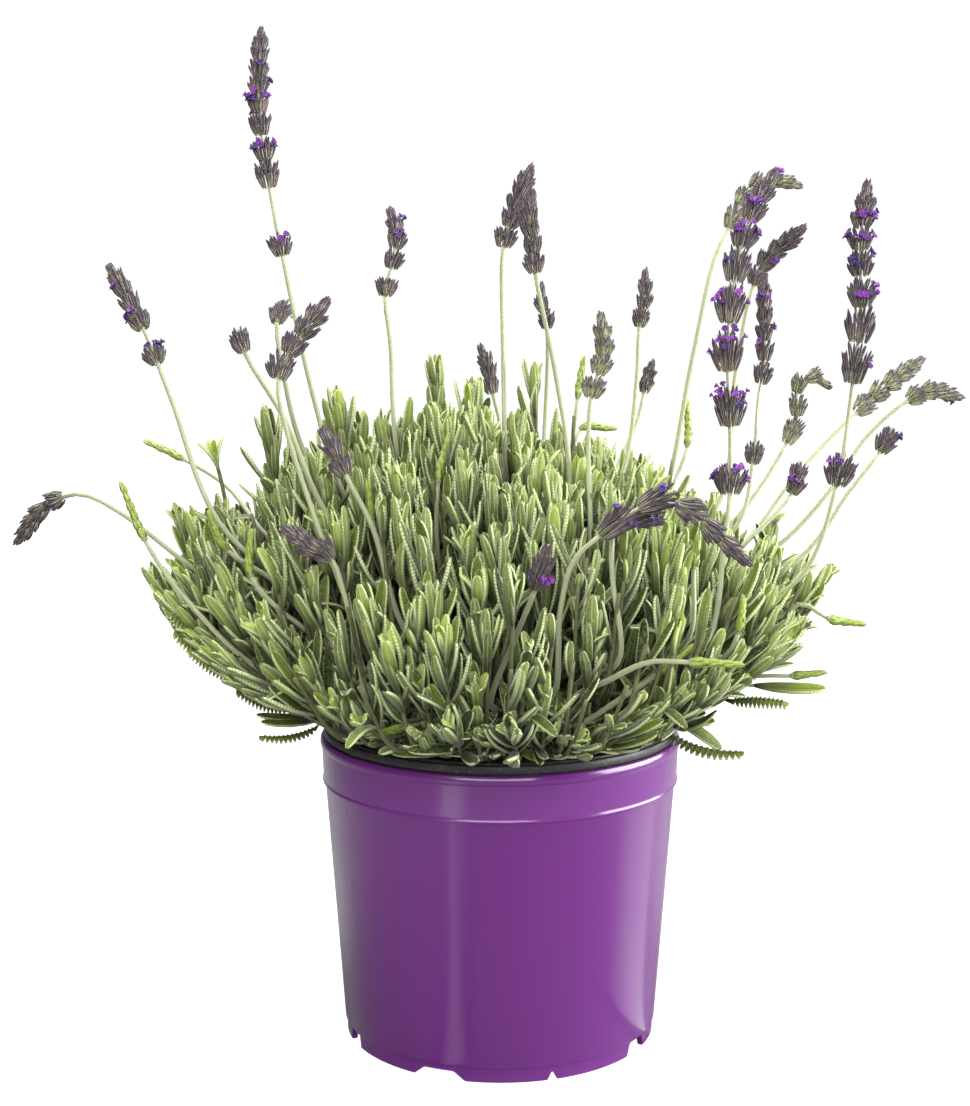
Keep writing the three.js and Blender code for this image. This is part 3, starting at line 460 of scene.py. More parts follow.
def liner_radius(height):
    """Outer radius of the black pot's wall, a small gap inside the purple one."""
    share = (min(height, BAND_BOTTOM) - FOOT_HEIGHT) / (BAND_BOTTOM - FOOT_HEIGHT)
    return BODY_BOTTOM_RADIUS + (BODY_TOP_RADIUS - BODY_BOTTOM_RADIUS) * share - POT_WALL - LINER_SIDE_GAP


liner_wall_top = liner_radius(LINER_SEAT)
liner_inside = liner_wall_top - LINER_WALL
liner_floor_edge = liner_radius(LINER_FLOOR_TOP) - LINER_WALL
liner_profile = (
    [(AXIS_RING, LINER_FLOOR)]
    + around(liner_radius(LINER_FLOOR), LINER_FLOOR, [(-1, 0), (0, 1)])
    + [(liner_wall_top, BAND_BOTTOM), (liner_wall_top, LINER_SEAT)]
    + around(LINER_OUTER, LINER_SEAT, [(-0.6, 0), (-0.1, 0.3), (0, 1)])
    + around(LINER_OUTER, LINER_TOP, [(0, -1.7), (-0.3, -1.0), (-1.2, -0.75), (-1.5, -0.7), (-1.8, -0.15),
                                      (-2.4, 0), (-3.0, -0.15), (-3.3, -0.6)])
    + around(LINER_INNER, LINER_TOP, [(0.4, -0.8), (0.05, -1.3), (0, -2.0)])
    + [(liner_inside, LINER_NECK), (liner_inside, BAND_BOTTOM), (liner_floor_edge, 9.8 * MM),
       (liner_floor_edge - 0.6 * MM, LINER_FLOOR_TOP), (AXIS_RING, LINER_FLOOR_TOP)])
liner = turned("black_growing_pot", liner_profile, POT_SIDES)
cut_away(liner, drain_cutter(4 * MM, 7 * MM, 10.5 * MM))
finish_shading(liner)

# Recycled black plastic: nearly black, uneven satin, with pale specks of dust and dried water.
black, tree = new_material("recycled_black_plastic")
place = own_place(tree)
grime = mixed(tree, noise_at(tree, place, 60, 5), (0.010, 0.010, 0.011), (0.026, 0.025, 0.024))
specks = curved(tree, noise_at(tree, place, 900, 2), [(0.62, 0), (0.74, 1)])
give_body(tree, {"Base Color": mixed(tree, specks, grime, (0.10, 0.09, 0.08)),
                 "Roughness": hazy(tree, 90, 0.44, 0.65), "Specular IOR Level": 0.28,
                 "Normal": bumped(tree, noise_at(tree, place, 500, 3), 0.15, 0.0002)})
cover(liner, black)
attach(liner, "root")
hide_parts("liner")

# ---------------------------------------------------------------- soil
# The root ball: dark peat that fills the black pot, crowned a little, with loose crumbs on top.
SOIL_EDGE = 101 * MM
SOIL_CROWN = 104 * MM
SOIL_BASE = 9.5 * MM
SOIL_RINGS = 18
CRUMBS = 900
soil_edge_radius = liner_radius(SOIL_EDGE) - LINER_WALL - 0.3 * MM


def soil_top(x, y):
    share = math.hypot(x, y) / liner_radius(SOIL_EDGE)
    return SOIL_CROWN - (SOIL_CROWN - SOIL_EDGE) * share * share


def seeded_draw(seed):
    """A repeatable draw between 0 and 1."""
    state = [seed]

    def draw():
        state[0] = (state[0] * 1664525 + 1013904223) % 4294967296
        return state[0] / 4294967296

    return draw


soil_profile = [(AXIS_RING, SOIL_BASE),
                (liner_radius(SOIL_BASE) - LINER_WALL - 0.9 * MM, SOIL_BASE),
                (liner_radius(BAND_BOTTOM) - LINER_WALL - 0.3 * MM, BAND_BOTTOM),
                (soil_edge_radius, SOIL_EDGE - 0.6 * MM)]
for step in range(SOIL_RINGS):
    radius = soil_edge_radius * (1 - (step + 0.4) / (SOIL_RINGS + 0.4))
    soil_profile.append((radius, soil_top(radius, 0) - 0.5 * MM))
soil = turned("peat", soil_profile, 96)
peat_lumps = bpy.data.textures.new("peat_lumps", "CLOUDS")
peat_lumps.noise_scale = 0.005
peat_lumps.noise_depth = 4
group = soil.vertex_groups.new(name="top")
group.add([v.index for v in soil.data.vertices if v.co.z > SOIL_EDGE - 0.5 * MM], 1, "REPLACE")
modified(soil, "DISPLACE", texture=peat_lumps, texture_coords="LOCAL", direction="Z", mid_level=0.6,
         strength=3.2 * MM, vertex_group="top")

# One crumb, a dented small ball, copied over the surface at every size and turn.
pick_none()
bpy.ops.mesh.primitive_ico_sphere_add(subdivisions=1, radius=1)
crumb = bpy.context.object
edit()
bpy.ops.transform.resize(value=(1, 0.75, 0.6))
bpy.ops.transform.vertex_random(offset=0.22, seed=3)
object_mode()
crumb_draw = seeded_draw(77)
gathered = bmesh.new()
gathered.from_mesh(soil.data)
for _ in range(CRUMBS):
    out = (soil_edge_radius - 2.5 * MM) * math.sqrt(crumb_draw())
    azimuth = 2 * math.pi * crumb_draw()
    x, y = out * math.cos(azimuth), out * math.sin(azimuth)
    size = (0.4 + 1.3 * crumb_draw() ** 2) * MM
    copy = crumb.data.copy()
    copy.transform(Matrix.Translation((x, y, soil_top(x, y) - 0.3 * MM))
                   @ Matrix.Rotation(6 * crumb_draw(), 4, (crumb_draw(), crumb_draw(), 1))
                   @ Matrix.Scale(size, 4))
    gathered.from_mesh(copy)
    bpy.data.meshes.remove(copy)
gathered.to_mesh(soil.data)
gathered.free()
bpy.data.objects.remove(crumb)
finish_shading(soil, 50)

peat, tree = new_material("dark_peat")
place = own_place(tree)
fibres = noise_at(tree, place, 420, 6)
dry_patches = curved(tree, noise_at(tree, place, 90, 4), [(0.5, 0), (0.75, 1)])
damp = mixed(tree, fibres, (0.006, 0.005, 0.004), (0.030, 0.021, 0.014))
give_body(tree, {"Base Color": mixed(tree, dry_patches, damp, (0.05, 0.036, 0.024)), "Roughness": 0.95,
                 "Normal": bumped(tree, fibres, 0.8, 0.001)})
cover(soil, peat)
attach(soil, "root")
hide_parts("soil")

# ---------------------------------------------------------------- one leaf
# A narrow blunt felted leaf with a groove down its face. It is drawn up ring by ring from a six-sided rod,
# then bent; each kind is copied many times. The last three kinds have long comb-like teeth.
LEAF_HALF = 0.067
# Height, share of the half width and thickness of each ring of a leaf one unit long.
LEAF_RINGS = [(0.0, 0.30, 0.014), (0.10, 0.52, 0.024), (0.28, 0.84, 0.032), (0.52, 1.0, 0.035),
              (0.74, 0.97, 0.034), (0.90, 0.72, 0.028), (0.975, 0.36, 0.016)]
COMB_TEETH = 12
COMB_LENGTH = 0.79
MARGIN_BEADS = 20
GROOVE = 0.05
SHOULDER_LIFT = 0.007
TEETH_DROP = -0.055


def comb_rings():
    """The rings of a toothed leaf: a waist and a point for every tooth."""
    rings = [(0.0, 0.24, 0.014), (0.14, 0.40, 0.026)]
    for tooth in range(COMB_TEETH):
        pitch = COMB_LENGTH / COMB_TEETH
        start = 0.16 + tooth * pitch
        swell = 0.60 + 0.40 * math.sin(math.pi * min(1, 0.10 + 0.84 * (tooth + 0.5) / COMB_TEETH))
        for along, width in ((0.08, 0.68), (0.42, 0.98), (0.80, 1.06)):
            rings.append((start + along * pitch, swell * width, 0.030))
    rings.append((0.975, 0.32, 0.018))
    return rings


def raised(rings):
    """Draws the selected end face up through rings of (height, size along X, size along Y)."""
    for (low, deep, wide), (high, next_deep, next_wide) in zip(rings, rings[1:]):
        bpy.ops.mesh.extrude_region_move(TRANSFORM_OT_translate={"value": (0, 0, high - low)})
        bpy.ops.transform.resize(value=(next_deep / deep, next_wide / wide, 1), center_override=(0, 0, high))


def map_layer(piece):
    """A piece's own map, made if it has none."""
    layer = piece.data.uv_layers[0] if piece.data.uv_layers else piece.data.uv_layers.new(name="UVMap")
    layer.name = "UVMap"
    return layer


def bent(piece, method, axis, angle):
    """Bends or twists a model; the angle is in degrees."""
    modified(piece, "SIMPLE_DEFORM", deform_method=method, deform_axis=axis, angle=math.radians(angle))


def finish_model(piece):
    """A model is smooth, carries the values that vary from copy to copy, and isn't in the picture itself."""
    for attribute in ("tone", "youth"):
        piece.data.attributes.new(attribute, "FLOAT", "POINT")
    pick_only(piece)
    bpy.ops.object.shade_smooth()
    piece.hide_render = True
    return piece


def leaf_master(name, bend, twist, toothed):
    """Upper face towards +X, width along Y, length along Z."""
    pick_none()
    rings = comb_rings() if toothed else LEAF_RINGS
    half, thick = rings[0][1:]
    round_radius = half * LEAF_HALF / math.cos(math.pi / 6)
    bpy.ops.mesh.primitive_circle_add(vertices=6, radius=round_radius, fill_type="NGON",
                                      rotation=(0, 0, math.pi / 6))
    leaf = bpy.context.object
    leaf.name = name
    settle()
    edit()
    bpy.ops.transform.resize(value=(thick / round_radius, 1, 1), center_override=(0, 0, 0))
    raised([(height, thick, half) for height, half, thick in rings])
    bpy.ops.mesh.extrude_region_move(TRANSFORM_OT_translate={"value": (0, 0, 1 - rings[-1][0])})
    bpy.ops.mesh.merge(type="CENTER")
    bpy.ops.mesh.select_all(action="SELECT")
    bpy.ops.mesh.normals_make_consistent(inside=False)
    object_mode()
    # The map runs 0 to 1 across the leaf and along it; "felt" marks the woolly back.
    across, under = [], []
    for vertex in leaf.data.vertices:
        across.append(0.5 if abs(vertex.co.y) < 0.003 else 0.5 + math.copysign(0.5, vertex.co.y))
        under.append(1.0 if vertex.co.x < -0.003 else 0.0)
    along = [vertex.co.z for vertex in leaf.data.vertices]
    layer = map_layer(leaf)
    for loop in leaf.data.loops:
        layer.data[loop.index].uv = (across[loop.vertex_index], along[loop.vertex_index])
    leaf.data.attributes.new("felt", "FLOAT", "POINT").data.foreach_set("value", under)
    # The face's middle line is pressed down into a groove.
    edit_points(leaf, lambda vertex: across[vertex.index] == 0.5 and vertex.co.x > 0.002)
    bpy.ops.transform.resize(value=(GROOVE, 1, 1), center_override=(0, 0, 0))
    object_mode()
    # The shoulders are lifted a little; on a toothed leaf both edges hang down instead, teeth the most.
    waists = [ring[0] for ring in rings[2:-1:3]] if toothed else []

    def on_edge(vertex):
        if across[vertex.index] == 0.5:
            return False
        if toothed:
            return 0.1 < vertex.co.z < 0.98 and min(abs(vertex.co.z - waist) for waist in waists) > 0.005
        return vertex.co.z > 0.1 and vertex.co.x > 0

    edit_points(leaf, on_edge)
    bpy.ops.transform.translate(value=(TEETH_DROP if toothed else SHOULDER_LIFT, 0, 0))
    object_mode()
    bent(leaf, "BEND", "Y", bend)
    if twist:
        bent(leaf, "TWIST", "Z", twist)
    return finish_model(leaf)


# How far each kind curls towards its upper face and how far it twists, in degrees, and whether it is toothed.
LEAF_KINDS = [(10, 0, False), (26, 8, False), (44, -12, False), (18, 30, False), (-16, -16, False),
              (-48, 12, False), (76, 0, True), (34, 0, True), (-10, 0, True)]
leaf_kinds = [leaf_master("leaf_%d" % i, *kind) for i, kind in enumerate(LEAF_KINDS)]


def carried(tree, name):
    """A value that the mesh carries."""
    node = add_node(tree, "Attribute")
    node.attribute_name = name
    return node.outputs["Fac"]


def worked(tree, operation, *sides):
    """One operation on plain values or other nodes' outputs."""
    node = tree.nodes.new("ShaderNodeMath")
    node.operation = operation
    for socket, side in zip(node.inputs, sides):
        give(tree, socket, side)
    return node.outputs["Value"]


def times(tree, value, share):
    return worked(tree, "MULTIPLY", value, share)


# Felted grey-green leaf: paler beaded margins, a paler midrib along the woolly underside, fresh yellow-green
# when young. The dark line down the groove of the upper face and the darkening towards each leaf's foot are
# painted shade.
leaf_green, tree = new_material("felted_leaf")
place = own_place(tree)
across, along = map_axes(tree)
tone, youth, felt = carried(tree, "tone"), carried(tree, "youth"), carried(tree, "felt")
from_middle = worked(tree, "ABSOLUTE", worked(tree, "SUBTRACT", across, 0.5))
margin = curved(tree, from_middle, [(0.40, 0), (0.49, 1)])
painted_groove_shade_and_rib = curved(tree, from_middle, [(0.02, 1), (0.09, 0)])
mottle = noise_at(tree, place, 700, 3)
bead_turn = worked(tree, "ADD", times(tree, along, 2 * math.pi * MARGIN_BEADS), times(tree, mottle, 5.0))
beads = worked(tree, "SINE", bead_turn)
# The tone varies at random, and is lower, as painted shade, on lower pairs and on the bush's inner shoots.
old_leaf = mixed(tree, tone, (0.007, 0.015, 0.002), (0.118, 0.160, 0.020))
coloured = mixed(tree, youth, old_leaf, (0.24, 0.33, 0.035))
hairs = curved(tree, noise_at(tree, place, 1100, 4), [(0.46, 0), (0.70, 0.42)])
speckled = mixed(tree, hairs, coloured, (0.22, 0.27, 0.085))
# The middle line: dark on the upper face as painted shade in the groove, a pale midrib on the woolly back.
middle = mixed(tree, felt, (0.035, 0.055, 0.012), (0.33, 0.38, 0.17))
with_groove_shade_and_rib = mixed(tree, times(tree, painted_groove_shade_and_rib, 0.55), speckled, middle)
beaded = times(tree, margin, worked(tree, "ADD", times(tree, beads, 0.22), 0.60))
edged = mixed(tree, beaded, with_groove_shade_and_rib, (0.54, 0.60, 0.32))
woolly = mixed(tree, times(tree, felt, 0.2), edged, (0.29, 0.35, 0.14))
# Painted shade: every leaf turns nearly black towards its foot, where the tuft shades it.
painted_foot_shade = curved(tree, along, [(0.0, 0.92), (0.40, 0.50), (0.70, 0.0)])
relief = worked(tree, "ADD", times(tree, hairs, 0.6), times(tree, beaded, 0.8))
give_body(tree, {"Base Color": mixed(tree, painted_foot_shade, woolly, (0.012, 0.018, 0.004)), "Roughness": 0.72,
                 "Specular IOR Level": 0.3, "Sheen Weight": 0.12, "Sheen Roughness": 0.3,
                 "Sheen Tint": (0.93, 1.0, 0.86), "Normal": bumped(tree, relief, 0.6, 0.0005)})

# ---------------------------------------------------------------- calyx, scale, floret
# The flower spikes are rings of dark woolly calyces; their ribs are in the colour. A dry scale sits under
# each ring, and a few calyces still hold an open violet floret. Each is drawn up ring by ring and copied.
CALYX_SLIM = 0.65
FLORET_SLIM = 0.55
SCALE_FLAT = 0.22
SCALE_BEND = 40


def drawn_up(name, sides, rings):
    """A closed slender body one unit long, from rings of (height, radius)."""
    pick_none()
    bpy.ops.mesh.primitive_circle_add(vertices=sides, radius=rings[0][1], fill_type="NGON")
    piece = bpy.context.object
    piece.name = name
    edit()
    raised([(height, radius, radius) for height, radius in rings])
    bpy.ops.mesh.select_all(action="SELECT")
    bpy.ops.mesh.normals_make_consistent(inside=False)
    object_mode()
    # The map runs round the body and up it.
    turn = [(math.atan2(v.co.y, v.co.x) / (2 * math.pi)) % 1.0 for v in piece.data.vertices]
    rise = [v.co.z for v in piece.data.vertices]
    layer = map_layer(piece)
    for polygon in piece.data.polygons:
        turns = [turn[i] for i in polygon.vertices]
        wraps = max(turns) - min(turns) > 0.5
        for loop_index, i in zip(polygon.loop_indices, polygon.vertices):
            u = turn[i] + (1.0 if wraps and turn[i] < 0.5 else 0.0)
            layer.data[loop_index].uv = (u, rise[i])
    return finish_model(piece)


def narrowed(piece, deep, wide):
    """Makes a whole model narrower about its length."""
    pick_only(piece)
    edit()
    bpy.ops.transform.resize(value=(deep, wide, 1), center_override=(0, 0, 0))
    object_mode()


calyx = drawn_up("calyx", 8,
                 [(0, 0.05), (0.15, 0.10), (0.45, 0.145), (0.70, 0.15), (0.88, 0.10), (1.0, 0.015)])
narrowed(calyx, CALYX_SLIM, CALYX_SLIM)
bract = drawn_up("scale", 4, [(0, 0.10), (0.25, 0.30), (0.5, 0.33), (0.8, 0.18), (1.0, 0.02)])
narrowed(bract, SCALE_FLAT, 1)
bent(bract, "BEND", "Y", SCALE_BEND)
# The floret: a short tube that opens into an uneven funnel.
floret = drawn_up("floret", 10,
                  [(0, 0.12), (0.10, 0.18), (0.22, 0.36), (0.36, 0.60), (0.33, 0.66), (0.18, 0.22)])
narrowed(floret, FLORET_SLIM, FLORET_SLIM)
edit()
bpy.ops.transform.vertex_random(offset=0.10, seed=5)
object_mode()

# Calyx: dark grey-purple wool with paler ribs and a purplish tip.
calyx_wool, tree = new_material("calyx_wool")
across, along = map_axes(tree)
tone, youth = carried(tree, "tone"), carried(tree, "youth")
stripes = worked(tree, "COSINE", times(tree, across, 8 * math.pi))
ridges = curved(tree, worked(tree, "ADD", times(tree, stripes, 0.5), 0.5), [(0.68, 0), (0.98, 1)])
wool = noise_at(tree, own_place(tree), 1400, 3)
dark = mixed(tree, tone, (0.004, 0.002, 0.006), (0.034, 0.020, 0.027))
green_cast = mixed(tree, youth, dark, (0.21, 0.23, 0.10))
pale = mixed(tree, tone, (0.09, 0.068, 0.064), (0.58, 0.52, 0.42))
lit = mixed(tree, times(tree, ridges, 0.8), green_cast, pale)
purplish = mixed(tree, curved(tree, along, [(0.5, 0), (0.8, 0.85)]), lit, (0.022, 0.008, 0.030))
base = mixed(tree, curved(tree, along, [(0.0, 0.35), (0.2, 0.0)]), purplish, (0.18, 0.16, 0.09))
give_body(tree, {"Base Color": mixed(tree, times(tree, wool, 0.12), base, (0.16, 0.13, 0.12)),
                 "Roughness": 0.85, "Sheen Weight": 0.12, "Sheen Roughness": 0.4,
                 "Sheen Tint": (0.9, 0.85, 0.82), "Normal": bumped(tree, wool, 0.5, 0.0002)})

# Dry scales under the whorls: straw to olive with darker veins.
scale_skin, tree = new_material("papery_scale")
grain = noise_at(tree, own_place(tree), 900, 4)
straw = mixed(tree, carried(tree, "tone"), (0.11, 0.085, 0.040), (0.23, 0.24, 0.08))
give_body(tree, {"Base Color": mixed(tree, times(tree, grain, 0.5), straw, (0.08, 0.05, 0.035)),
                 "Roughness": 0.7, "Normal": bumped(tree, grain, 0.3, 0.0002)})

# Florets: thin violet petals, deeper in the throat.
petal, tree = new_material("violet_petal")
across, along = map_axes(tree)
veins = noise_at(tree, own_place(tree), 1200, 3)
age = curved(tree, carried(tree, "tone"), [(0.2, 0), (0.8, 1)])
hue = mixed(tree, age, (0.008, 0.002, 0.060), (0.165, 0.010, 0.23))
soft = mixed(tree, times(tree, veins, 0.05), hue, (0.22, 0.07, 0.42))
throat = curved(tree, along, [(0.12, 0.8), (0.32, 0)])
give_body(tree, {"Base Color": mixed(tree, throat, soft, (0.05, 0.02, 0.16)), "Roughness": 0.6,
                 "Sheen Weight": 0.08, "Normal": bumped(tree, veins, 0.3, 0.0002)})

# ---------------------------------------------------------------- the bush: plan of stems and shoots
# Twenty-eight stems stand in the soil. Leafy shoots leave each one and end all over a mound; a shoot
# belongs to the stem that points most nearly its way. All by one seeded rule.
MOUND_CENTRE = Vector((-3, 2, 128)) * MM
MOUND_EDGE = math.radians(100)
GOLDEN_ANGLE = math.pi * (3 - math.sqrt(5))
STEM_COUNT = 28
SOIL_SPREAD = 47 * MM
STEM_DEPTH = 9 * MM
# In millimetres: how far a crown stands above its stem's foot, the mound's radius, the swell of its sides
# and its undercut.
CROWN_RISE = 18
MOUND_RADIUS = 105
MOUND_SWELL = 18
MOUND_UNDERCUT = 30
FINE_STEPS = 160
UP = Vector((0, 0, 1))


def mound_direction(index, count):
    """Direction number index of count, spread evenly from the mound's top to its edge."""
    cos_polar = 1 - (1 - math.cos(MOUND_EDGE)) * (index + 0.5) / count
    return math.acos(cos_polar), index * GOLDEN_ANGLE


def mound_offset(polar, azimuth):
    undercut = min(1, max(0, (polar - math.radians(76)) / math.radians(24)))
    undercut = undercut * undercut * (3 - 2 * undercut)
    radius = (MOUND_RADIUS + MOUND_SWELL * math.sin(1.35 * polar) ** 2 - MOUND_UNDERCUT * undercut) * MM
    return Vector((radius * math.sin(polar) * math.cos(azimuth),
                   radius * math.sin(polar) * math.sin(azimuth), radius * math.cos(polar)))


stems = []
for i in range(STEM_COUNT):
    polar, azimuth = mound_direction(i, STEM_COUNT)
    out = SOIL_SPREAD * math.sqrt((i + 0.5) / STEM_COUNT)
    x, y = out * math.cos(azimuth), out * math.sin(azimuth)
    foot = Vector((x, y, soil_top(x, y) - STEM_DEPTH))
    crown = foot + UP * CROWN_RISE * MM + Vector((x, y, 0)) * 0.05
    stems.append({"name": "leafy_stem_%02d" % (i + 1), "way": mound_offset(polar, azimuth).normalized(),
                  "foot": foot, "crown": crown, "fork": crown - UP * 3.6 * MM,
                  "twigs": [], "stalks": [], "shown": [], "leaves": [], "buds": []})


def nearest_stem(point):
    way = (point - MOUND_CENTRE).normalized()
    return max(stems, key=lambda stem: stem["way"].dot(way))


def way_point(points, at):
    """Point on the smooth way through a row of points; `at` counts them, so 1.5 is halfway from 1 to 2."""
    i = min(int(at), len(points) - 2)
    share = at - i
    here, there = points[i], points[i + 1]
    before = points[i - 1] if i > 0 else here * 2 - there
    after = points[i + 2] if i + 2 < len(points) else there * 2 - here
    d0 = max((here - before).length, 1e-9) ** 0.5
    d1 = max((there - here).length, 1e-9) ** 0.5
    d2 = max((after - there).length, 1e-9) ** 0.5
    leave = ((here - before) / d0 - (there - before) / (d0 + d1) + (there - here) / d1) * d1
    arrive = ((there - here) / d1 - (after - here) / (d1 + d2) + (after - there) / d2) * d1
    s2, s3 = share * share, share ** 3
    return (here * (2 * s3 - 3 * s2 + 1) + leave * (s3 - 2 * s2 + share)
            + there * (3 * s2 - 2 * s3) + arrive * (s3 - s2))


def even_way(points, start, end, steps):
    """Points at even distances along part of a smooth way."""
    fine = [way_point(points, start + (end - start) * i / FINE_STEPS) for i in range(FINE_STEPS + 1)]
    reach = [0.0]
    for a, b in zip(fine, fine[1:]):
        reach.append(reach[-1] + (b - a).length)
    result, j = [], 0
    for i in range(steps + 1):
        goal = reach[-1] * i / steps
        while j < FINE_STEPS - 1 and reach[j + 1] < goal:
            j += 1
        span = max(reach[j + 1] - reach[j], 1e-12)
        result.append(fine[j].lerp(fine[j + 1], (goal - reach[j]) / span))
    return result


def frame_at(along, up_hint):
    """A leaf's own axes: upper face along X, across it Y, its length along Z."""
    z = along.normalized()
    x = (up_hint - z * up_hint.dot(z)).normalized()
    y = z.cross(x)
    return Matrix((x, y, z)).transposed().to_4x4()


def placed(root, along, face, sizes):
    """A copy's place: its root, the way of its length, what its upper face looks to, and its three sizes."""
    return Matrix.Translation(root) @ frame_at(along, face) @ Matrix.Diagonal(sizes).to_4x4()


# ---------------------------------------------------------------- flower stalks and heads
# Thin round stalks climb out of the leaves along the ways seen in the photograph; each ends in a spike of
# whorls. The points are millimetres. "open" is how many clusters of violet florets show.
FLOWERS = [
    {"name": "tall_left", "stalk": [(-56, -12, 201), (-66, -5, 233), (-77, 5, 281)],
     "spike": [(-82, 8, 308), (-85, 10, 334), (-84, 12, 361)],
     "whorls": 10, "bare": (0.09, 0.3), "reach": 4.4, "open": 11},
    {"name": "outer_left", "stalk": [(-98, -15, 188), (-116, 0, 229), (-122, 5, 243)],
     "spike": [(-129, 10, 258), (-136, 15, 270), (-142, 18, 279)],
     "whorls": 6, "bare": (0.15, 0.32), "reach": 4.2, "open": 3},
    {"name": "far_left", "stalk": [(-108, -20, 174), (-131, -16, 191), (-146, -12, 198), (-154, -10, 197)],
     "spike": [(-162, -8, 192), (-168, -6, 185), (-173, -5, 178)], "whorls": 5, "reach": 3.6},
    {"name": "round_left", "stalk": [(-60, -45, 199), (-72, -38, 226), (-86, -34, 249)],
     "spike": [(-88, -33, 257)], "whorls": 2, "reach": 3.6},
    {"name": "round_back", "stalk": [(-72, 16, 212), (-79, 18, 241), (-81, 20, 257)],
     "spike": [(-79, 26, 261), (-76, 32, 258)], "whorls": 3, "reach": 3.8},
    {"name": "leaning_left",
     "stalk": [(-42, -72, 133), (-48, -74, 166), (-60, -64, 196), (-71, -54, 228), (-73, -50, 241)],
     "spike": [(-68, -48, 252), (-62, -46, 260), (-56, -44, 268)], "whorls": 5, "reach": 4.8},
    {"name": "bent_left", "stalk": [(-44, -84, 152), (-49, -87, 175), (-53, -88, 187)],
     "spike": [(-58, -90, 190), (-63, -90, 194), (-70, -90, 197)],
     "whorls": 4, "reach": 3.8, "faded": True},
    {"name": "dark_left", "stalk": [(-32, -70, 163), (-41, -70, 194), (-50, -66, 211)],
     "spike": [(-55, -64, 221), (-59, -62, 227)], "whorls": 3, "reach": 4},
    {"name": "middle_left", "stalk": [(-38, 30, 209), (-41, 40, 249), (-43, 44, 266)],
     "spike": [(-40, 46, 280), (-39, 47, 288), (-42, 50, 300)],
     "whorls": 5, "bare": (0.18, 0.3), "reach": 4.2, "open": 2},
    {"name": "brown_back", "stalk": [(0, 80, 214), (-3, 82, 227)],
     "spike": [(-5, 84, 237), (-9, 86, 247)], "whorls": 4, "reach": 3.6},
    {"name": "middle_tall", "stalk": [(2, 5, 203), (1, 15, 246), (1, 20, 284)],
     "spike": [(4, 21, 294), (7, 22, 303), (12, 24, 314)], "whorls": 6, "reach": 4.4},
    {"name": "middle_right", "stalk": [(24, -20, 206), (19, -14, 241), (12, -10, 275)],
     "spike": [(11, -9, 285), (10, -8, 295), (12, -6, 304)], "whorls": 6, "reach": 3.7},
    {"name": "middle_behind", "stalk": [(17, 62, 213), (18, 66, 253)],
     "spike": [(16, 67, 263), (16, 68, 272)], "whorls": 3, "reach": 3.2},
    {"name": "green_topped", "stalk": [(30, -40, 181), (30, -28, 217), (31, -24, 233)],
     "spike": [(35, -21, 247), (35, -20, 254), (34, -18, 263)], "whorls": 5, "reach": 4, "green": True},
    {"name": "right_of_middle", "stalk": [(47, 48, 201), (52, 56, 235), (53, 60, 254)],
     "spike": [(55, 62, 266), (55, 64, 277)], "whorls": 4, "reach": 3.3},
    {"name": "small_back", "stalk": [(55, 86, 218), (57, 88, 227)],
     "spike": [(61, 90, 241)], "whorls": 3, "reach": 3},
    {"name": "big_right", "stalk": [(68, -62, 156), (74, -54, 188), (76, -50, 203)],
     "spike": [(76, -47, 224), (75, -44, 250), (76, -42, 264), (81, -38, 289), (92, -34, 311)],
     "whorls": 9, "bare": (0.1, 0.2), "reach": 5.8, "open": 27},
    {"name": "arching_back", "stalk": [(60, 20, 194), (70, 28, 242), (79, 36, 281), (84, 38, 291)],
     "spike": [(89, 40, 301), (95, 42, 307), (104, 44, 308), (113, 46, 305)],
     "whorls": 6, "reach": 3.8, "open": 1, "green": True},
    {"name": "leaning_right", "stalk": [(82, 30, 192), (87, 36, 236), (94, 42, 270)],
     "spike": [(99, 42, 279), (106, 40, 286), (113, 38, 292)], "whorls": 6, "reach": 4.2, "open": 1},
    {"name": "right_middle", "stalk": [(86, 10, 185), (92, 18, 206)],
     "spike": [(94, 22, 229), (96, 24, 241), (96, 26, 264), (96, 28, 275)],
     "whorls": 8, "bare": (0.12, 0.42), "reach": 3.7, "open": 3},
    {"name": "bent_right", "stalk": [(94, 55, 185), (111, 66, 209)],
     "spike": [(115, 68, 218), (115, 69, 229), (121, 71, 234), (130, 72, 228)],
     "whorls": 5, "reach": 3.8, "green": True},
    {"name": "tall_right", "stalk": [(103, -30, 172), (114, -33, 204)],
     "spike": [(118, -36, 239), (120, -37, 262), (119, -38, 287), (121, -40, 307)],
     "whorls": 9, "bare": (0.1, 0.34), "reach": 5.4, "open": 13},
    {"name": "slanting_right", "stalk": [(92, 40, 173), (113, 52, 198), (138, 66, 221)],
     "spike": [(150, 70, 231), (166, 76, 242)], "whorls": 6, "reach": 4.4, "green": True},
    {"name": "far_right", "stalk": [(105, 20, 178), (123, 26, 197), (135, 31, 214), (151, 34, 228)],
     "spike": [(160, 36, 231), (173, 38, 228)], "whorls": 5, "reach": 3.8, "open": 1, "green": True},
    {"name": "small_far_right", "stalk": [(110, 2, 176), (125, 8, 196), (137, 12, 211)],
     "spike": [(142, 14, 220)], "whorls": 2, "reach": 4, "open": 1},
    {"name": "small_right", "stalk": [(87, -5, 180), (104, 2, 197)],
     "spike": [(107, 4, 209)], "whorls": 2, "reach": 3.8, "open": 1},
    {"name": "arch_small", "stalk": [(38, -88, 156), (35, -90, 183), (36, -90, 197)],
     "spike": [(43, -92, 200), (51, -93, 197)], "whorls": 3, "reach": 4, "open": 2},
    {"name": "arch_big", "stalk": [(18, -80, 144), (19, -91, 172), (23, -96, 188), (31, -98, 196)],
     "spike": [(46, -100, 206), (56, -101, 205), (67, -102, 196), (78, -102, 186)],
     "whorls": 6, "reach": 4.4, "open": 4},
    {"name": "front_small", "stalk": [(-3, -80, 139), (5, -91, 163), (11, -96, 179)],
     "spike": [(15, -100, 194)], "whorls": 3, "reach": 4, "open": 1},
]

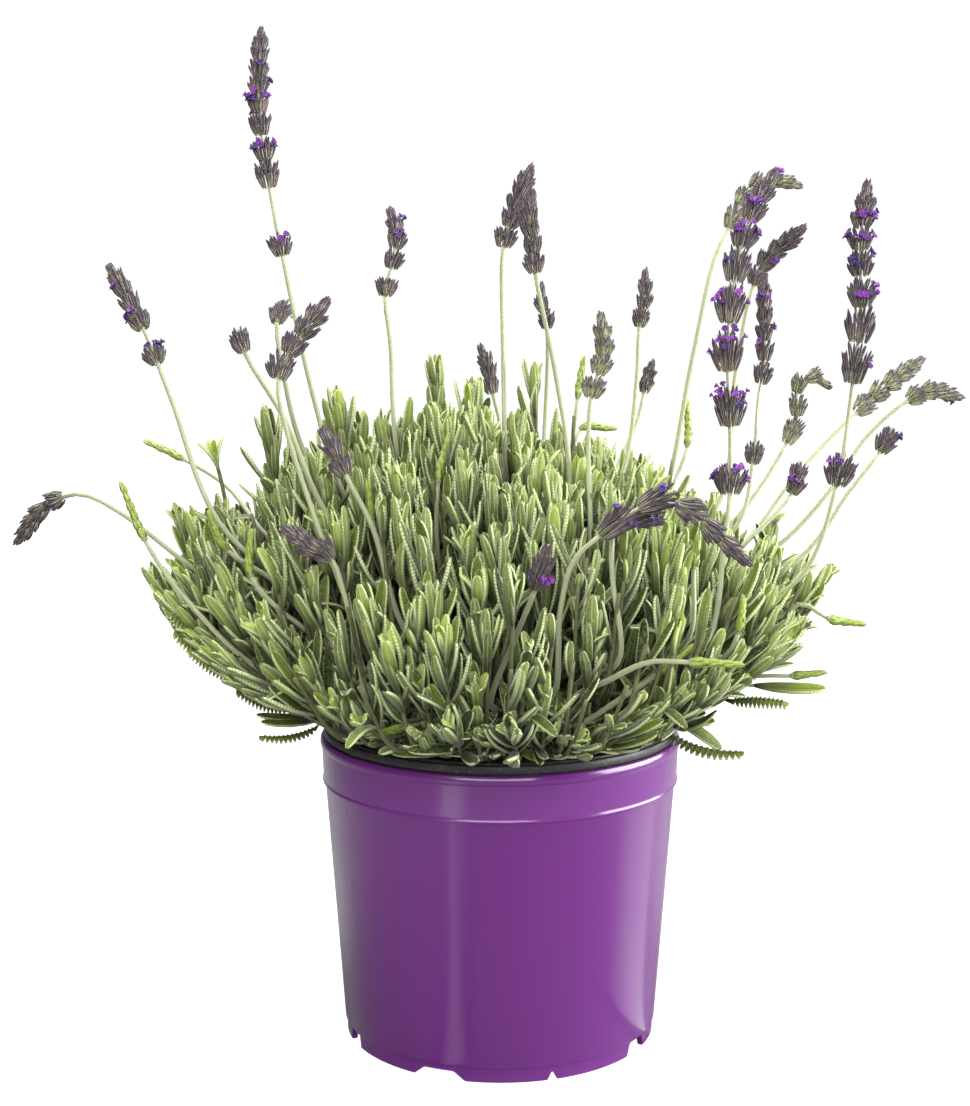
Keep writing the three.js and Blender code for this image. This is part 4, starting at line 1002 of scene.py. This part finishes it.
# Buds that are still green: the bare part of the stalk, then the bud's own axis.
BUDS = [
    ([(-86, 20, 179), (-103, 40, 195), (-121, 52, 204)], [(-135, 56, 210)]),
    ([(-80, -50, 143), (-110, -45, 172), (-120, -40, 186)], [(-128, -36, 204)]),
    ([(-21, -40, 181), (-21, -33, 205)], [(-18, -31, 219)]),
    ([(27, 40, 211), (29, 44, 228)], [(31, 46, 241)]),
    ([(68, 68, 194), (73, 72, 207)], [(73, 75, 225)]),
    ([(101, -8, 155), (107, -9, 159), (116, -10, 154)], [(127, -10, 152)]),
    ([(96, 0, 131), (105, 0, 131)], [(115, 0, 132)]),
    ([(34, -92, 149), (46, -102, 157), (58, -107, 158)], [(72, -110, 158)]),
    ([(24, -68, 128), (38, -80, 140), (50, -86, 150)], [(59, -88, 158)]),
    ([(74, -60, 150), (78, -64, 159)], [(79, -66, 169)]),
    ([(-21, -72, 132), (-31, -80, 131)], [(-40, -86, 130)]),
    ([(-80, -30, 172), (-93, -36, 182)], [(-98, -37, 193)]),
    ([(-64, -60, 159), (-75, -64, 169), (-81, -66, 178)], [(-81, -66, 191)]),
    ([(29, 70, 207), (31, 72, 214)], [(43, 74, 214)]),
    ([(-41, -58, 190), (-42, -59, 196)], [(-43, -60, 206)]),
    ([(61, -75, 160), (62, -75, 182)], [(63, -75, 191)]),
]


def in_metres(points):
    return [Vector(point) * MM for point in points]


def way_length(points):
    return sum((b - a).length for a, b in zip(points, points[1:]))


def grow_stalk(stalk, spike, stalk_steps, spike_steps, shown_steps):
    """Adds a stalk to the stem it leaves; returns that stem and the even axis of the stalk's spike."""
    stalk, spike = in_metres(stalk), in_metres(spike)
    stem = nearest_stem(stalk[0])
    knee = stem["crown"].lerp(stalk[0], 0.5) + UP * 6 * MM
    way = [stem["fork"], knee] + stalk + spike
    last = len(stalk) + 1
    stem["stalks"].append(even_way(way, 0, last, stalk_steps))
    stem["shown"].append(even_way(way, 2, len(way) - 1, shown_steps))
    return stem, even_way(way, last, len(way) - 1, spike_steps)


def axis_frame(axis, share):
    """Point, direction and a steady side direction at a share of an even way."""
    at = min(max(share, 0), 1) * (len(axis) - 1)
    i = min(int(at), len(axis) - 2)
    point = axis[i].lerp(axis[i + 1], at - i)
    before, after = axis[max(0, i - 1)], axis[min(len(axis) - 1, i + 2)]
    along = (after - before).normalized()
    side = along.cross(Vector((0.1, 1, 0.15))).normalized()
    return point, along, side


def pipe(ways, name, materials):
    """One mesh of round pipes; each way is (points, radius at its start, radius at its end, material)."""
    curve = bpy.data.curves.new(name, "CURVE")
    curve.dimensions = "3D"
    curve.bevel_depth = 1.0
    curve.bevel_resolution = 1
    curve.resolution_u = 1
    curve.use_fill_caps = True
    for material in materials:
        curve.materials.append(material)
    for points, first, last, material in ways:
        spline = curve.splines.new("POLY")
        spline.points.add(len(points) - 1)
        spline.material_index = material
        spline.use_smooth = True
        for k, point in enumerate(points):
            spline.points[k].co = (*point, 1)
            spline.points[k].radius = first + (last - first) * k / (len(points) - 1)
    piece = bpy.data.objects.new(name, curve)
    bpy.context.scene.collection.objects.link(piece)
    pick_only(piece)
    bpy.ops.object.convert(target="MESH")
    return bpy.context.object


def gather(name, ways, copies, materials):
    """One piece from pipes and many placed copies, each copy a list of (model, slot, place, tone, youth)."""
    piece = pipe(ways, name, materials)
    edit()
    bpy.ops.mesh.remove_doubles(threshold=1e-7)
    bpy.ops.mesh.normals_make_consistent(inside=False)
    object_mode()
    for layer in list(piece.data.uv_layers):
        piece.data.uv_layers.remove(layer)
    piece.data.uv_layers.new(name="UVMap")
    for attribute in ("felt", "tone", "youth"):
        piece.data.attributes.new(attribute, "FLOAT", "POINT")
    whole = bmesh.new()
    whole.from_mesh(piece.data)
    for model, slot, place, tone, youth in copies:
        copy = model.data.copy()
        copy.transform(place)
        count = len(copy.vertices)
        copy.attributes["tone"].data.foreach_set("value", [tone] * count)
        copy.attributes["youth"].data.foreach_set("value", [youth] * count)
        copy.polygons.foreach_set("material_index", [slot] * len(copy.polygons))
        whole.from_mesh(copy)
        bpy.data.meshes.remove(copy)
    whole.to_mesh(piece.data)
    whole.free()
    return piece


def lengthwise(tree, squeeze):
    """The piece's own coordinates, squeezed along its height so that a pattern stretches."""
    return add_node(tree, "Mapping", {"Vector": own_place(tree), "Scale": (1, 1, squeeze)}).outputs["Vector"]


# Stalks: pale felted green with fine lengthwise grain.
stalk_skin, tree = new_material("felted_stalk")
grain = noise_at(tree, lengthwise(tree, 0.12), 1500, 3)
patches = noise_at(tree, own_place(tree), 30, 3)
green = mixed(tree, patches, (0.140, 0.163, 0.065), (0.27, 0.29, 0.155))
give_body(tree, {"Base Color": mixed(tree, times(tree, grain, 0.3), green, (0.41, 0.43, 0.30)),
                 "Roughness": 0.6, "Sheen Weight": 0.3, "Normal": bumped(tree, grain, 0.25, 0.0001)})

# The wood of the stems and shoots: browner, with fissures.
bark, tree = new_material("stem_bark")
fissures = noise_at(tree, lengthwise(tree, 0.2), 900, 5)
give_body(tree, {"Base Color": mixed(tree, fissures, (0.035, 0.036, 0.014), (0.13, 0.14, 0.055)),
                 "Roughness": 0.85, "Normal": bumped(tree, fissures, 0.7, 0.0004)})

# The scales of green buds.
bud_green, tree = new_material("green_bud")
across, along = map_axes(tree)
grain = noise_at(tree, own_place(tree), 900, 4)
fresh = mixed(tree, grain, (0.115, 0.17, 0.024), (0.29, 0.37, 0.070))
brown_tip = curved(tree, along, [(0.7, 0), (1.0, 0.6)])
give_body(tree, {"Base Color": mixed(tree, brown_tip, fresh, (0.20, 0.17, 0.05)),
                 "Roughness": 0.55, "Normal": bumped(tree, grain, 0.3, 0.0002)})

bloom = seeded_draw(4711)
# Rings of calyces in a whorl: how far out they start and end, as shares of the whorl's reach; their foot and
# top, as shares of its height; and how many millimetres of the ring each one takes.
CALYX_RINGS = [(0.52, 0.96, 0.00, 0.56, 1.35), (0.48, 0.94, 0.24, 0.82, 1.45), (0.18, 0.60, 0.42, 1.04, 1.6)]
CROWDING = 0.85
TIP_LENGTH = 6.5 * MM
SHORTEST_CALYX = 4.6 * MM
CALYX_GIRTH = 5.3 * MM
LOWEST_WHORL = 5.0 * MM
TALLEST_WHORL = 12.5 * MM
TAPER = 0.58
SCALE_LENGTH = 4.2 * MM
SCALE_WIDTH = 3.6 * MM
BUD_LEVELS = 6
BUD_SCALES = 4


def dress_head(flower, axis):
    """Every calyx, scale and floret of one spike, placed whorl by whorl."""
    copies, spots = [], []
    length = way_length(axis)
    whorls, reach, bare = flower["whorls"], flower["reach"] * MM, flower.get("bare")
    # Whorls crowd together towards the tip; a "bare" spike has its lowest whorl well below the rest.
    first = 0 if bare is None else 1
    steps = [k / (whorls - first) for k in range(whorls - first)]
    crowd = [step * (1 + CROWDING * (1 - step)) for step in steps]
    low = 0 if bare is None else bare[1]
    shares = [0.0] * first + [low + (1 - low - TIP_LENGTH / length) * share for share in crowd]
    for k, share in enumerate(shares):
        if first and k == 0:
            pitch = bare[0] * length
        elif k + 1 < whorls:
            pitch = (shares[k + 1] - share) * length
        else:
            pitch = TIP_LENGTH
        size = reach * (1 - TAPER * (k / whorls) ** 2)
        point, along, side = axis_frame(axis, share)
        start = bloom() * 6.3
        tall = min(TALLEST_WHORL, max(LOWEST_WHORL, pitch * (0.84 + 0.24 * bloom())))
        narrowing = 0.5 if k == whorls - 1 and whorls > 2 else 1.0
        for root_out, end_out, foot, top, every in CALYX_RINGS:
            ring_count = max(3, round(math.pi * size * (root_out + end_out) / (every * MM)))
            for i in range(ring_count):
                azimuth = start + every + 2 * math.pi * (i + 0.6 * (bloom() - 0.5)) / ring_count
                out = Matrix.Rotation(azimuth, 3, along) @ side
                root = point + along * tall * foot + out * size * root_out
                rise = max(tall * (top - foot), SHORTEST_CALYX) * (0.86 + 0.3 * bloom())
                end_reach = out * size * end_out * narrowing * (0.82 + 0.34 * bloom())
                end = point + along * (tall * foot + rise) + end_reach
                way = end - root
                girth = CALYX_GIRTH * (0.80 + 0.36 * bloom())
                youth = 0.35 + 0.65 * bloom() if flower.get("green") else 0.12 * bloom()
                tone = 0.55 + 0.45 * bloom() if flower.get("faded") else bloom()
                copies.append((calyx, 0, placed(root, way, along, (girth, girth, way.length)), tone, youth))
                spots.append((k, end - way.normalized() * 0.5 * MM, way.normalized(), out))
        for half in range(2):
            out = Matrix.Rotation(start + half * math.pi + 1.2, 3, along) @ side
            root = point - along * 0.3 * MM + out * size * 0.3
            wide = SCALE_WIDTH * size / (5 * MM)
            place = placed(root, along * 0.9 + out * 0.6, along - out, (wide, wide, SCALE_LENGTH))
            copies.append((bract, 1, place, bloom(), 0.0))
    # Violet florets open in small clusters at the whorls' mouths, most of them where the light comes from.
    for cluster in range(flower.get("open", 0)):
        level = int(bloom() * 0.75 * whorls)
        mouths = [spot for spot in spots if spot[0] == level and (cluster % 3 == 2 or spot[3].y < 0.2)]
        first = mouths[int(bloom() * len(mouths))]
        mouths.sort(key=lambda spot: (spot[1] - first[1]).length)
        for _, mouth, way, out in mouths[:2 + int(3.5 * bloom())]:
            size = (2.5 + 1.3 * bloom()) * MM
            place = (Matrix.Translation(mouth) @ frame_at(way * 0.6 + out * (0.2 + 0.9 * bloom()), UP + out)
                     @ Matrix.Rotation(6.3 * bloom(), 4, "Z") @ Matrix.Scale(size, 4))
            copies.append((floret, 2, place, bloom(), 0.0))
    return copies


for flower in FLOWERS:
    _, axis = grow_stalk(flower["stalk"], flower["spike"], stalk_steps=30, spike_steps=40, shown_steps=60)
    gap = (axis[1] - axis[0]).normalized() * 0.3 * MM
    head = gather("head_" + flower["name"], [([axis[0] + gap] + axis[2:-2:2], 0.75 * MM, 0.40 * MM, 3)],
                  dress_head(flower, axis), [calyx_wool, scale_skin, petal, stalk_skin])
    finish_shading(head, 60)
    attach(head, "root")
    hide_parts("flower_head_" + flower["name"])

for stalk, spike in BUDS:
    stem, axis = grow_stalk(stalk, spike, stalk_steps=26, spike_steps=20, shown_steps=30)
    stem["stalks"].append(axis[:16])
    for k in range(BUD_LEVELS):
        point, along, side = axis_frame(axis, k / BUD_LEVELS)
        for i in range(BUD_SCALES):
            out = Matrix.Rotation(bloom() * 0.4 + k * 0.8 + i * math.pi * 0.5, 3, along) @ side
            size = (4.8 + 1.0 * bloom()) * MM
            place = placed(point + out * 0.7 * MM, along + out * (0.30 - 0.03 * k), along * 0.2 - out,
                           (size * 0.6, size * (0.78 - 0.06 * k), size))
            stem["buds"].append((bract, 3, place, bloom(), 0.0))

# ---------------------------------------------------------------- tufts of leaves
# Leaves stand on each shoot in pairs, each pair across the one below, small and fresh at the tip and long
# and grey lower down. They stay above the bush's lower edge and the black rim, and those that would cover
# a flower stalk are shortened or left out.
grow = seeded_draw(20261)
TUFT_COUNT = 460
TUFT_AXIS = 36 * MM
RIM_CLEAR = 121 * MM
DEEPER_BACK = 1.05
DEEPER_FRONT = 1.11
CAMERA_TO_PLANT = -CAMERA_PLACE[1] / MM
PAST_RIM = 65.5 * MM
# The lowest that a leaf hangs over the black rim and past it, in millimetres.
RIM_CLEAR_LOW = 116.3
PAST_RIM_LOW = 113.2
EYE = Vector(CAMERA_PLACE)

over_stalks = []
for stem in stems:
    for stalk in stem["shown"]:
        over_stalks += stalk
from_mound = kdtree.KDTree(len(over_stalks))
from_eye = kdtree.KDTree(len(over_stalks))
for i, point in enumerate(over_stalks):
    from_mound.insert((point - MOUND_CENTRE).normalized(), i)
    from_eye.insert((point - EYE).normalized(), i)
from_mound.balance()
from_eye.balance()


def hides_stalk(points):
    """True where a leaf would grow across a stalk on its outer side, or between it and the way it is seen."""
    for point in points:
        out = point - MOUND_CENTRE
        for _, i, _ in from_mound.find_range(out.normalized(), 0.026):
            if out.length > (over_stalks[i] - MOUND_CENTRE).length - 2 * MM:
                return True
        sight = point - EYE
        for _, i, _ in from_eye.find_range(sight.normalized(), 0.0038):
            if sight.length < (over_stalks[i] - EYE).length:
                return True
    return False


# The bush's lower edge seen from the front, from the pot's middle outward: distance and height, in
# millimetres.
EDGE_LEFT = [(0, 97), (36, 100.5), (58, 105), (65, 115), (73, 117), (87, 120), (96, 127), (104, 132),
             (112, 138), (118, 144), (122, 152), (126, 165), (140, 200)]
EDGE_RIGHT = [(0, 97), (43, 101.5), (58, 105), (66, 115), (77, 118), (82, 123), (93, 128), (106, 136),
              (111, 145), (114, 156), (119, 168), (130, 200)]


def leaf_floor(point):
    """How low leaves hang: over the black rim, and nowhere below the bush's lower edge."""
    nearer = abs(point.y) / MM
    out = abs(point.x) / MM * CAMERA_TO_PLANT / (CAMERA_TO_PLANT - nearer)
    edge = EDGE_LEFT if point.x < 0 else EDGE_RIGHT
    height = edge[-1][1]
    for (x0, z0), (x1, z1) in zip(edge, edge[1:]):
        if out < x1:
            height = z0 + (z1 - z0) * (out - x0) / (x1 - x0)
            break
    height += (CAMERA_PLACE[2] / MM - height) * nearer / CAMERA_TO_PLANT
    return max(PAST_RIM_LOW if point.xy.length > PAST_RIM else RIM_CLEAR_LOW, height) * MM


def leaf_spots(root, way, face, bend, length):
    """Five points along a bent leaf."""
    z = way.normalized()
    x = (face - z * face.dot(z)).normalized()
    spots = []
    for share in (0.25, 0.45, 0.65, 0.85, 1.0):
        half = math.radians(bend) * share / 2
        spots.append(root + (z * math.cos(half) + x * math.sin(half)) * length * share * 0.98)
    return spots


def put_leaf(stem, kind, root, way, face, wide, length, tone, youth):
    stem["leaves"].append((leaf_kinds[kind], 0, placed(root, way, face, (wide, wide, length)), tone, youth))


def grow_leaf(stem, kind, root, way, face, wide, length, tone, youth):
    """Turns a leaf up until it clears the pot; shortens it or leaves it out where it would hide a stalk."""
    bend = LEAF_KINDS[kind][0]
    for _ in range(9):
        spots = leaf_spots(root, way, face, bend, length)
        if min(spot.z - leaf_floor(spot) for spot in spots[1:]) > 0:
            break
        way = way.normalized() + UP * 0.18
    else:
        return
    for _ in range(3):
        if not hides_stalk(spots):
            put_leaf(stem, kind, root, way, face, wide, length, tone, youth)
            return
        length *= 0.72
        spots = leaf_spots(root, way, face, bend, length)


def leafy_tuft(stem, axis, pairs, first, spacing, longest, lean_up, vivid_share, light=1.0):
    """Pairs of leaves from the tip of a shoot's axis downward."""
    vivid = vivid_share > 0 and grow() < vivid_share
    lengths = [0.0]
    for a, b in zip(axis, axis[1:]):
        lengths.append(lengths[-1] + (b - a).length)
    whole = lengths[-1]
    turn = 2 * math.pi * grow()
    # The tuft's tone varies at random; a light below 1 darkens all its leaves as painted shade.
    shade = (0.12 + 0.85 * grow()) * light
    girth = 0.85 + 0.35 * grow()
    depth = first
    for pair in range(pairs):
        share = pair / max(1, pairs - 1)
        goal = max(0.0, whole - depth)
        j = max(k for k in range(len(lengths) - 1) if lengths[k] <= goal + 1e-9)
        f = (goal - lengths[j]) / max(lengths[j + 1] - lengths[j], 1e-9)
        root = axis[j].lerp(axis[j + 1], min(1, f))
        along = (axis[j + 1] - axis[j]).normalized()
        side = along.cross(Vector((0.3, 0.9, 0.2))).normalized()
        grown = 0.40 + 0.60 * math.sin(math.pi / 2 * min(1, share * 1.7 + 0.12))
        length = longest * grown * (0.82 + 0.36 * grow())
        spread = math.radians(7 + 36 * share ** 0.9 + 22 * (grow() - 0.5))
        for half in range(2):
            azimuth = turn + pair * math.pi / 2 + half * math.pi + 0.8 * (grow() - 0.5)
            out = Matrix.Rotation(azimuth, 3, along) @ side
            way = along * math.cos(spread) + out * math.sin(spread) + UP * lean_up * share
            pick = grow()
            if share < 0.3:
                kind = 0 if pick < 0.5 else 1
            elif share < 0.75:
                kind = (1, 2, 0, 3, 0)[int(pick * 5)]
            else:
                kind = (2, 1, 3, 4, 1, 0, 5)[int(pick * 7)]
            # Lower pairs are darker: partly older leaves, partly painted shade deeper in the tuft.
            tone = min(1, max(0, shade + 0.5 * (grow() - 0.5) - 0.5 * share * grow()))
            youth = max(0, (0.9 if vivid else 0.25) * (1 - 1.8 * share))
            wide = girth * (20 + 6 * grow()) * MM * (0.8 + 0.2 * length / longest)
            grow_leaf(stem, kind, root, way, along * 0.4 - out, wide, length, tone, youth)
        depth += spacing * (0.75 + 0.6 * share)


def shoot(stem, tip):
    """A shoot's own way: out of the stem's fork towards its tip, steeper the higher it ends."""
    height = min(1, max(0, (tip.z - leaf_floor(tip)) / (60 * MM)))
    chord = (tip - stem["crown"]).normalized()
    along = (chord + UP * (0.3 + 1.2 * height + 0.25 * (grow() - 0.5))).normalized()
    tuft_foot = tip - along * min(TUFT_AXIS, 0.55 * (tip - stem["crown"]).length)
    tuft_foot.z = max(tuft_foot.z, RIM_CLEAR, leaf_floor(tuft_foot) + 2 * MM)
    knee = stem["crown"].lerp(tuft_foot, 0.45)
    knee.z += 0.10 * (stem["crown"] - tuft_foot).length
    if knee.xy.length > 45 * MM:
        knee.z = max(knee.z, RIM_CLEAR - 2 * MM, leaf_floor(knee))
    return even_way([stem["fork"], knee, tuft_foot, tip], 0, 3, 24)


def leafy_shoot(tip, **tuft):
    """A shoot that ends at a tip, and its tuft."""
    stem = nearest_stem(tip)
    axis = shoot(stem, tip)
    stem["twigs"].append(axis)
    leafy_tuft(stem, axis, **tuft)


for i in range(TUFT_COUNT):
    polar, azimuth = mound_direction(i, TUFT_COUNT)
    polar = min(math.radians(93), max(0.02, polar * 0.95 + 0.07 * (grow() - 0.5)))
    azimuth += 0.09 * (grow() - 0.5) / max(0.2, math.sin(polar))
    # The bush is a little ragged, fuller at the sides than at the shoulders, most of all on the right.
    shoulder = math.sin(min(2 * polar, math.pi)) ** 2
    fullness = (0.74 + 0.13 * math.sin(min(polar, math.pi / 2)) ** 2
                + (0.17 - 0.03 * math.sin(polar)) * grow()
                - shoulder * (0.05 + 0.11 * max(0, math.cos(azimuth))))
    offset = mound_offset(polar, azimuth) * fullness
    offset.y *= DEEPER_FRONT if offset.y < 0 else DEEPER_BACK
    tip = MOUND_CENTRE + offset
    tip.z = max(tip.z, leaf_floor(tip) + (6 + 5 * grow()) * MM)
    leafy_shoot(tip, pairs=8, first=1.5 * MM, spacing=3.2 * MM, longest=21.5 * MM,
                lean_up=0.16 if polar > 0.9 else 0.06, vivid_share=0.2)

# Tall sprigs stand out of the bush where the photograph shows them: the tip, and how long the leaves are.
SPRIGS = [((-83, 5, 219), 20), ((-101, 0, 208), 20), ((-58, 10, 224), 19), ((-23, 10, 240), 17),
          ((-9, 22, 228), 19), ((13, 10, 233), 20), ((27, 24, 223), 17), ((98, 5, 186), 20),
          ((115, 0, 164), 18), ((-124, 0, 163), 18), ((-114, 0, 184), 18), ((-40, -10, 219), 18),
          ((62, 10, 208), 17), ((104, -30, 170), 20)]
for tip, longest in SPRIGS:
    leafy_shoot(Vector(tip) * MM, pairs=9, first=1.5 * MM, spacing=3.8 * MM, longest=longest * MM,
                lean_up=0.1, vivid_share=0.25)

# Older shoots fill the inside of the bush. Their leaves are coloured much darker: partly older leaves, partly
# painted shade of the bush's inside.
INNER_TUFTS = 110
for i in range(INNER_TUFTS):
    polar, azimuth = mound_direction(i, INNER_TUFTS)
    tip = MOUND_CENTRE + mound_offset(polar * 0.88, azimuth + 1) * (0.5 + 0.18 * grow())
    tip.z = max(tip.z, leaf_floor(tip) + 8 * MM)
    leafy_shoot(tip, pairs=6, first=1.5 * MM, spacing=4.6 * MM, longest=24 * MM, lean_up=0.1,
                vivid_share=0, light=0.2)

# Short low tufts fill in round the mouth and lean out over the black rim.
RIM_TUFTS = 30
for i in range(RIM_TUFTS):
    azimuth = 2 * math.pi * (i + 0.6 * grow()) / RIM_TUFTS
    out = Vector((math.cos(azimuth), math.sin(azimuth), 0))
    tip = out * (56 + 11 * grow()) * MM + UP * (122 + 8 * grow()) * MM
    stem = nearest_stem(tip + UP * 4 * MM)
    knee = stem["crown"].lerp(tip, 0.4) + UP * 5 * MM
    axis = even_way([stem["fork"], knee, tip], 0, 2, 16)
    stem["twigs"].append(axis)
    leafy_tuft(stem, axis, pairs=6, first=1.2 * MM, spacing=2.4 * MM, longest=19 * MM, lean_up=0.0,
               vivid_share=0.3)

# A few low leaves droop past the rim on the left and right, as the photograph shows: root and tip, width in
# millimetres, kind of leaf, and youth.
LOW_LEAVES = [
    ((-64, -16, 117), (-86, -17, 112.5), 3.2, 6, 0), ((-63, -15, 118.5), (-84, -16, 116.5), 3.4, 1, 0),
    ((-62, -12, 119), (-86, -14, 119), 3.4, 1, 0), ((-74, -15, 122), (-92.5, -16, 127), 4.2, 7, 0),
    ((-95, -40, 149), (-112.5, -42, 160.5), 4.2, 7, 0.1), ((-93, -42, 143), (-110, -43, 153.5), 4.2, 7, 0),
    ((-88, -42, 138.5), (-105, -43, 147), 4.0, 7, 0.1), ((59, -24, 116.5), (85, -26, 108.8), 4.2, 6, 0.1),
    ((62, -18, 118.5), (75, -24, 113), 4.4, 5, 0), ((58, -16, 119), (75, -20, 118), 4.4, 0, 0.1),
    ((60, -24, 118), (74, -31, 120), 4.2, 2, 0), ((80, -10, 124.5), (102, -12, 124.5), 4.4, 8, 0.3),
    ((92, 2, 127), (117, 2, 125.5), 4.6, 0, 0.6),
]
for root, tip, wide, kind, young in LOW_LEAVES:
    root, tip = Vector(root) * MM, Vector(tip) * MM
    stem = nearest_stem(root)
    half = math.radians(LEAF_KINDS[kind][0]) / 2
    straight = (tip - root).normalized()
    face = UP * 0.82 - Vector((0, 0.57, 0))
    face = (face - straight * face.dot(straight)).normalized()
    way = straight * math.cos(half) - face * math.sin(half)
    length = (tip - root).length * 1.04
    knee = stem["crown"].lerp(root, 0.6) + UP * 6 * MM
    stem["twigs"].append(even_way([stem["fork"], knee, root], 0, 2, 12))
    put_leaf(stem, kind, root, way, face, wide * MM / (2 * LEAF_HALF), length, 0.5 + 0.4 * grow(), young)

# ---------------------------------------------------------------- leafy stems
# One piece for each stem: its woody foot in the soil, its shoots, their leaves, and the flower stalks and
# green buds that leave it.
for stem in stems:
    ways = [([stem["foot"], stem["foot"] + UP * 10 * MM, stem["crown"]], 2.0 * MM, 1.7 * MM, 2)]
    ways += [(axis, 1.0 * MM, 0.7 * MM, 2) for axis in stem["twigs"]]
    ways += [(stalk, 1.2 * MM, 0.8 * MM, 1) for stalk in stem["stalks"]]
    piece = gather("stem_" + stem["name"][-2:], ways, stem["leaves"] + stem["buds"],
                   [leaf_green, stalk_skin, bark, bud_green])
    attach(piece, "root")
    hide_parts(stem["name"])

for model in leaf_kinds + [calyx, bract, floret]:
    bpy.data.objects.remove(model)
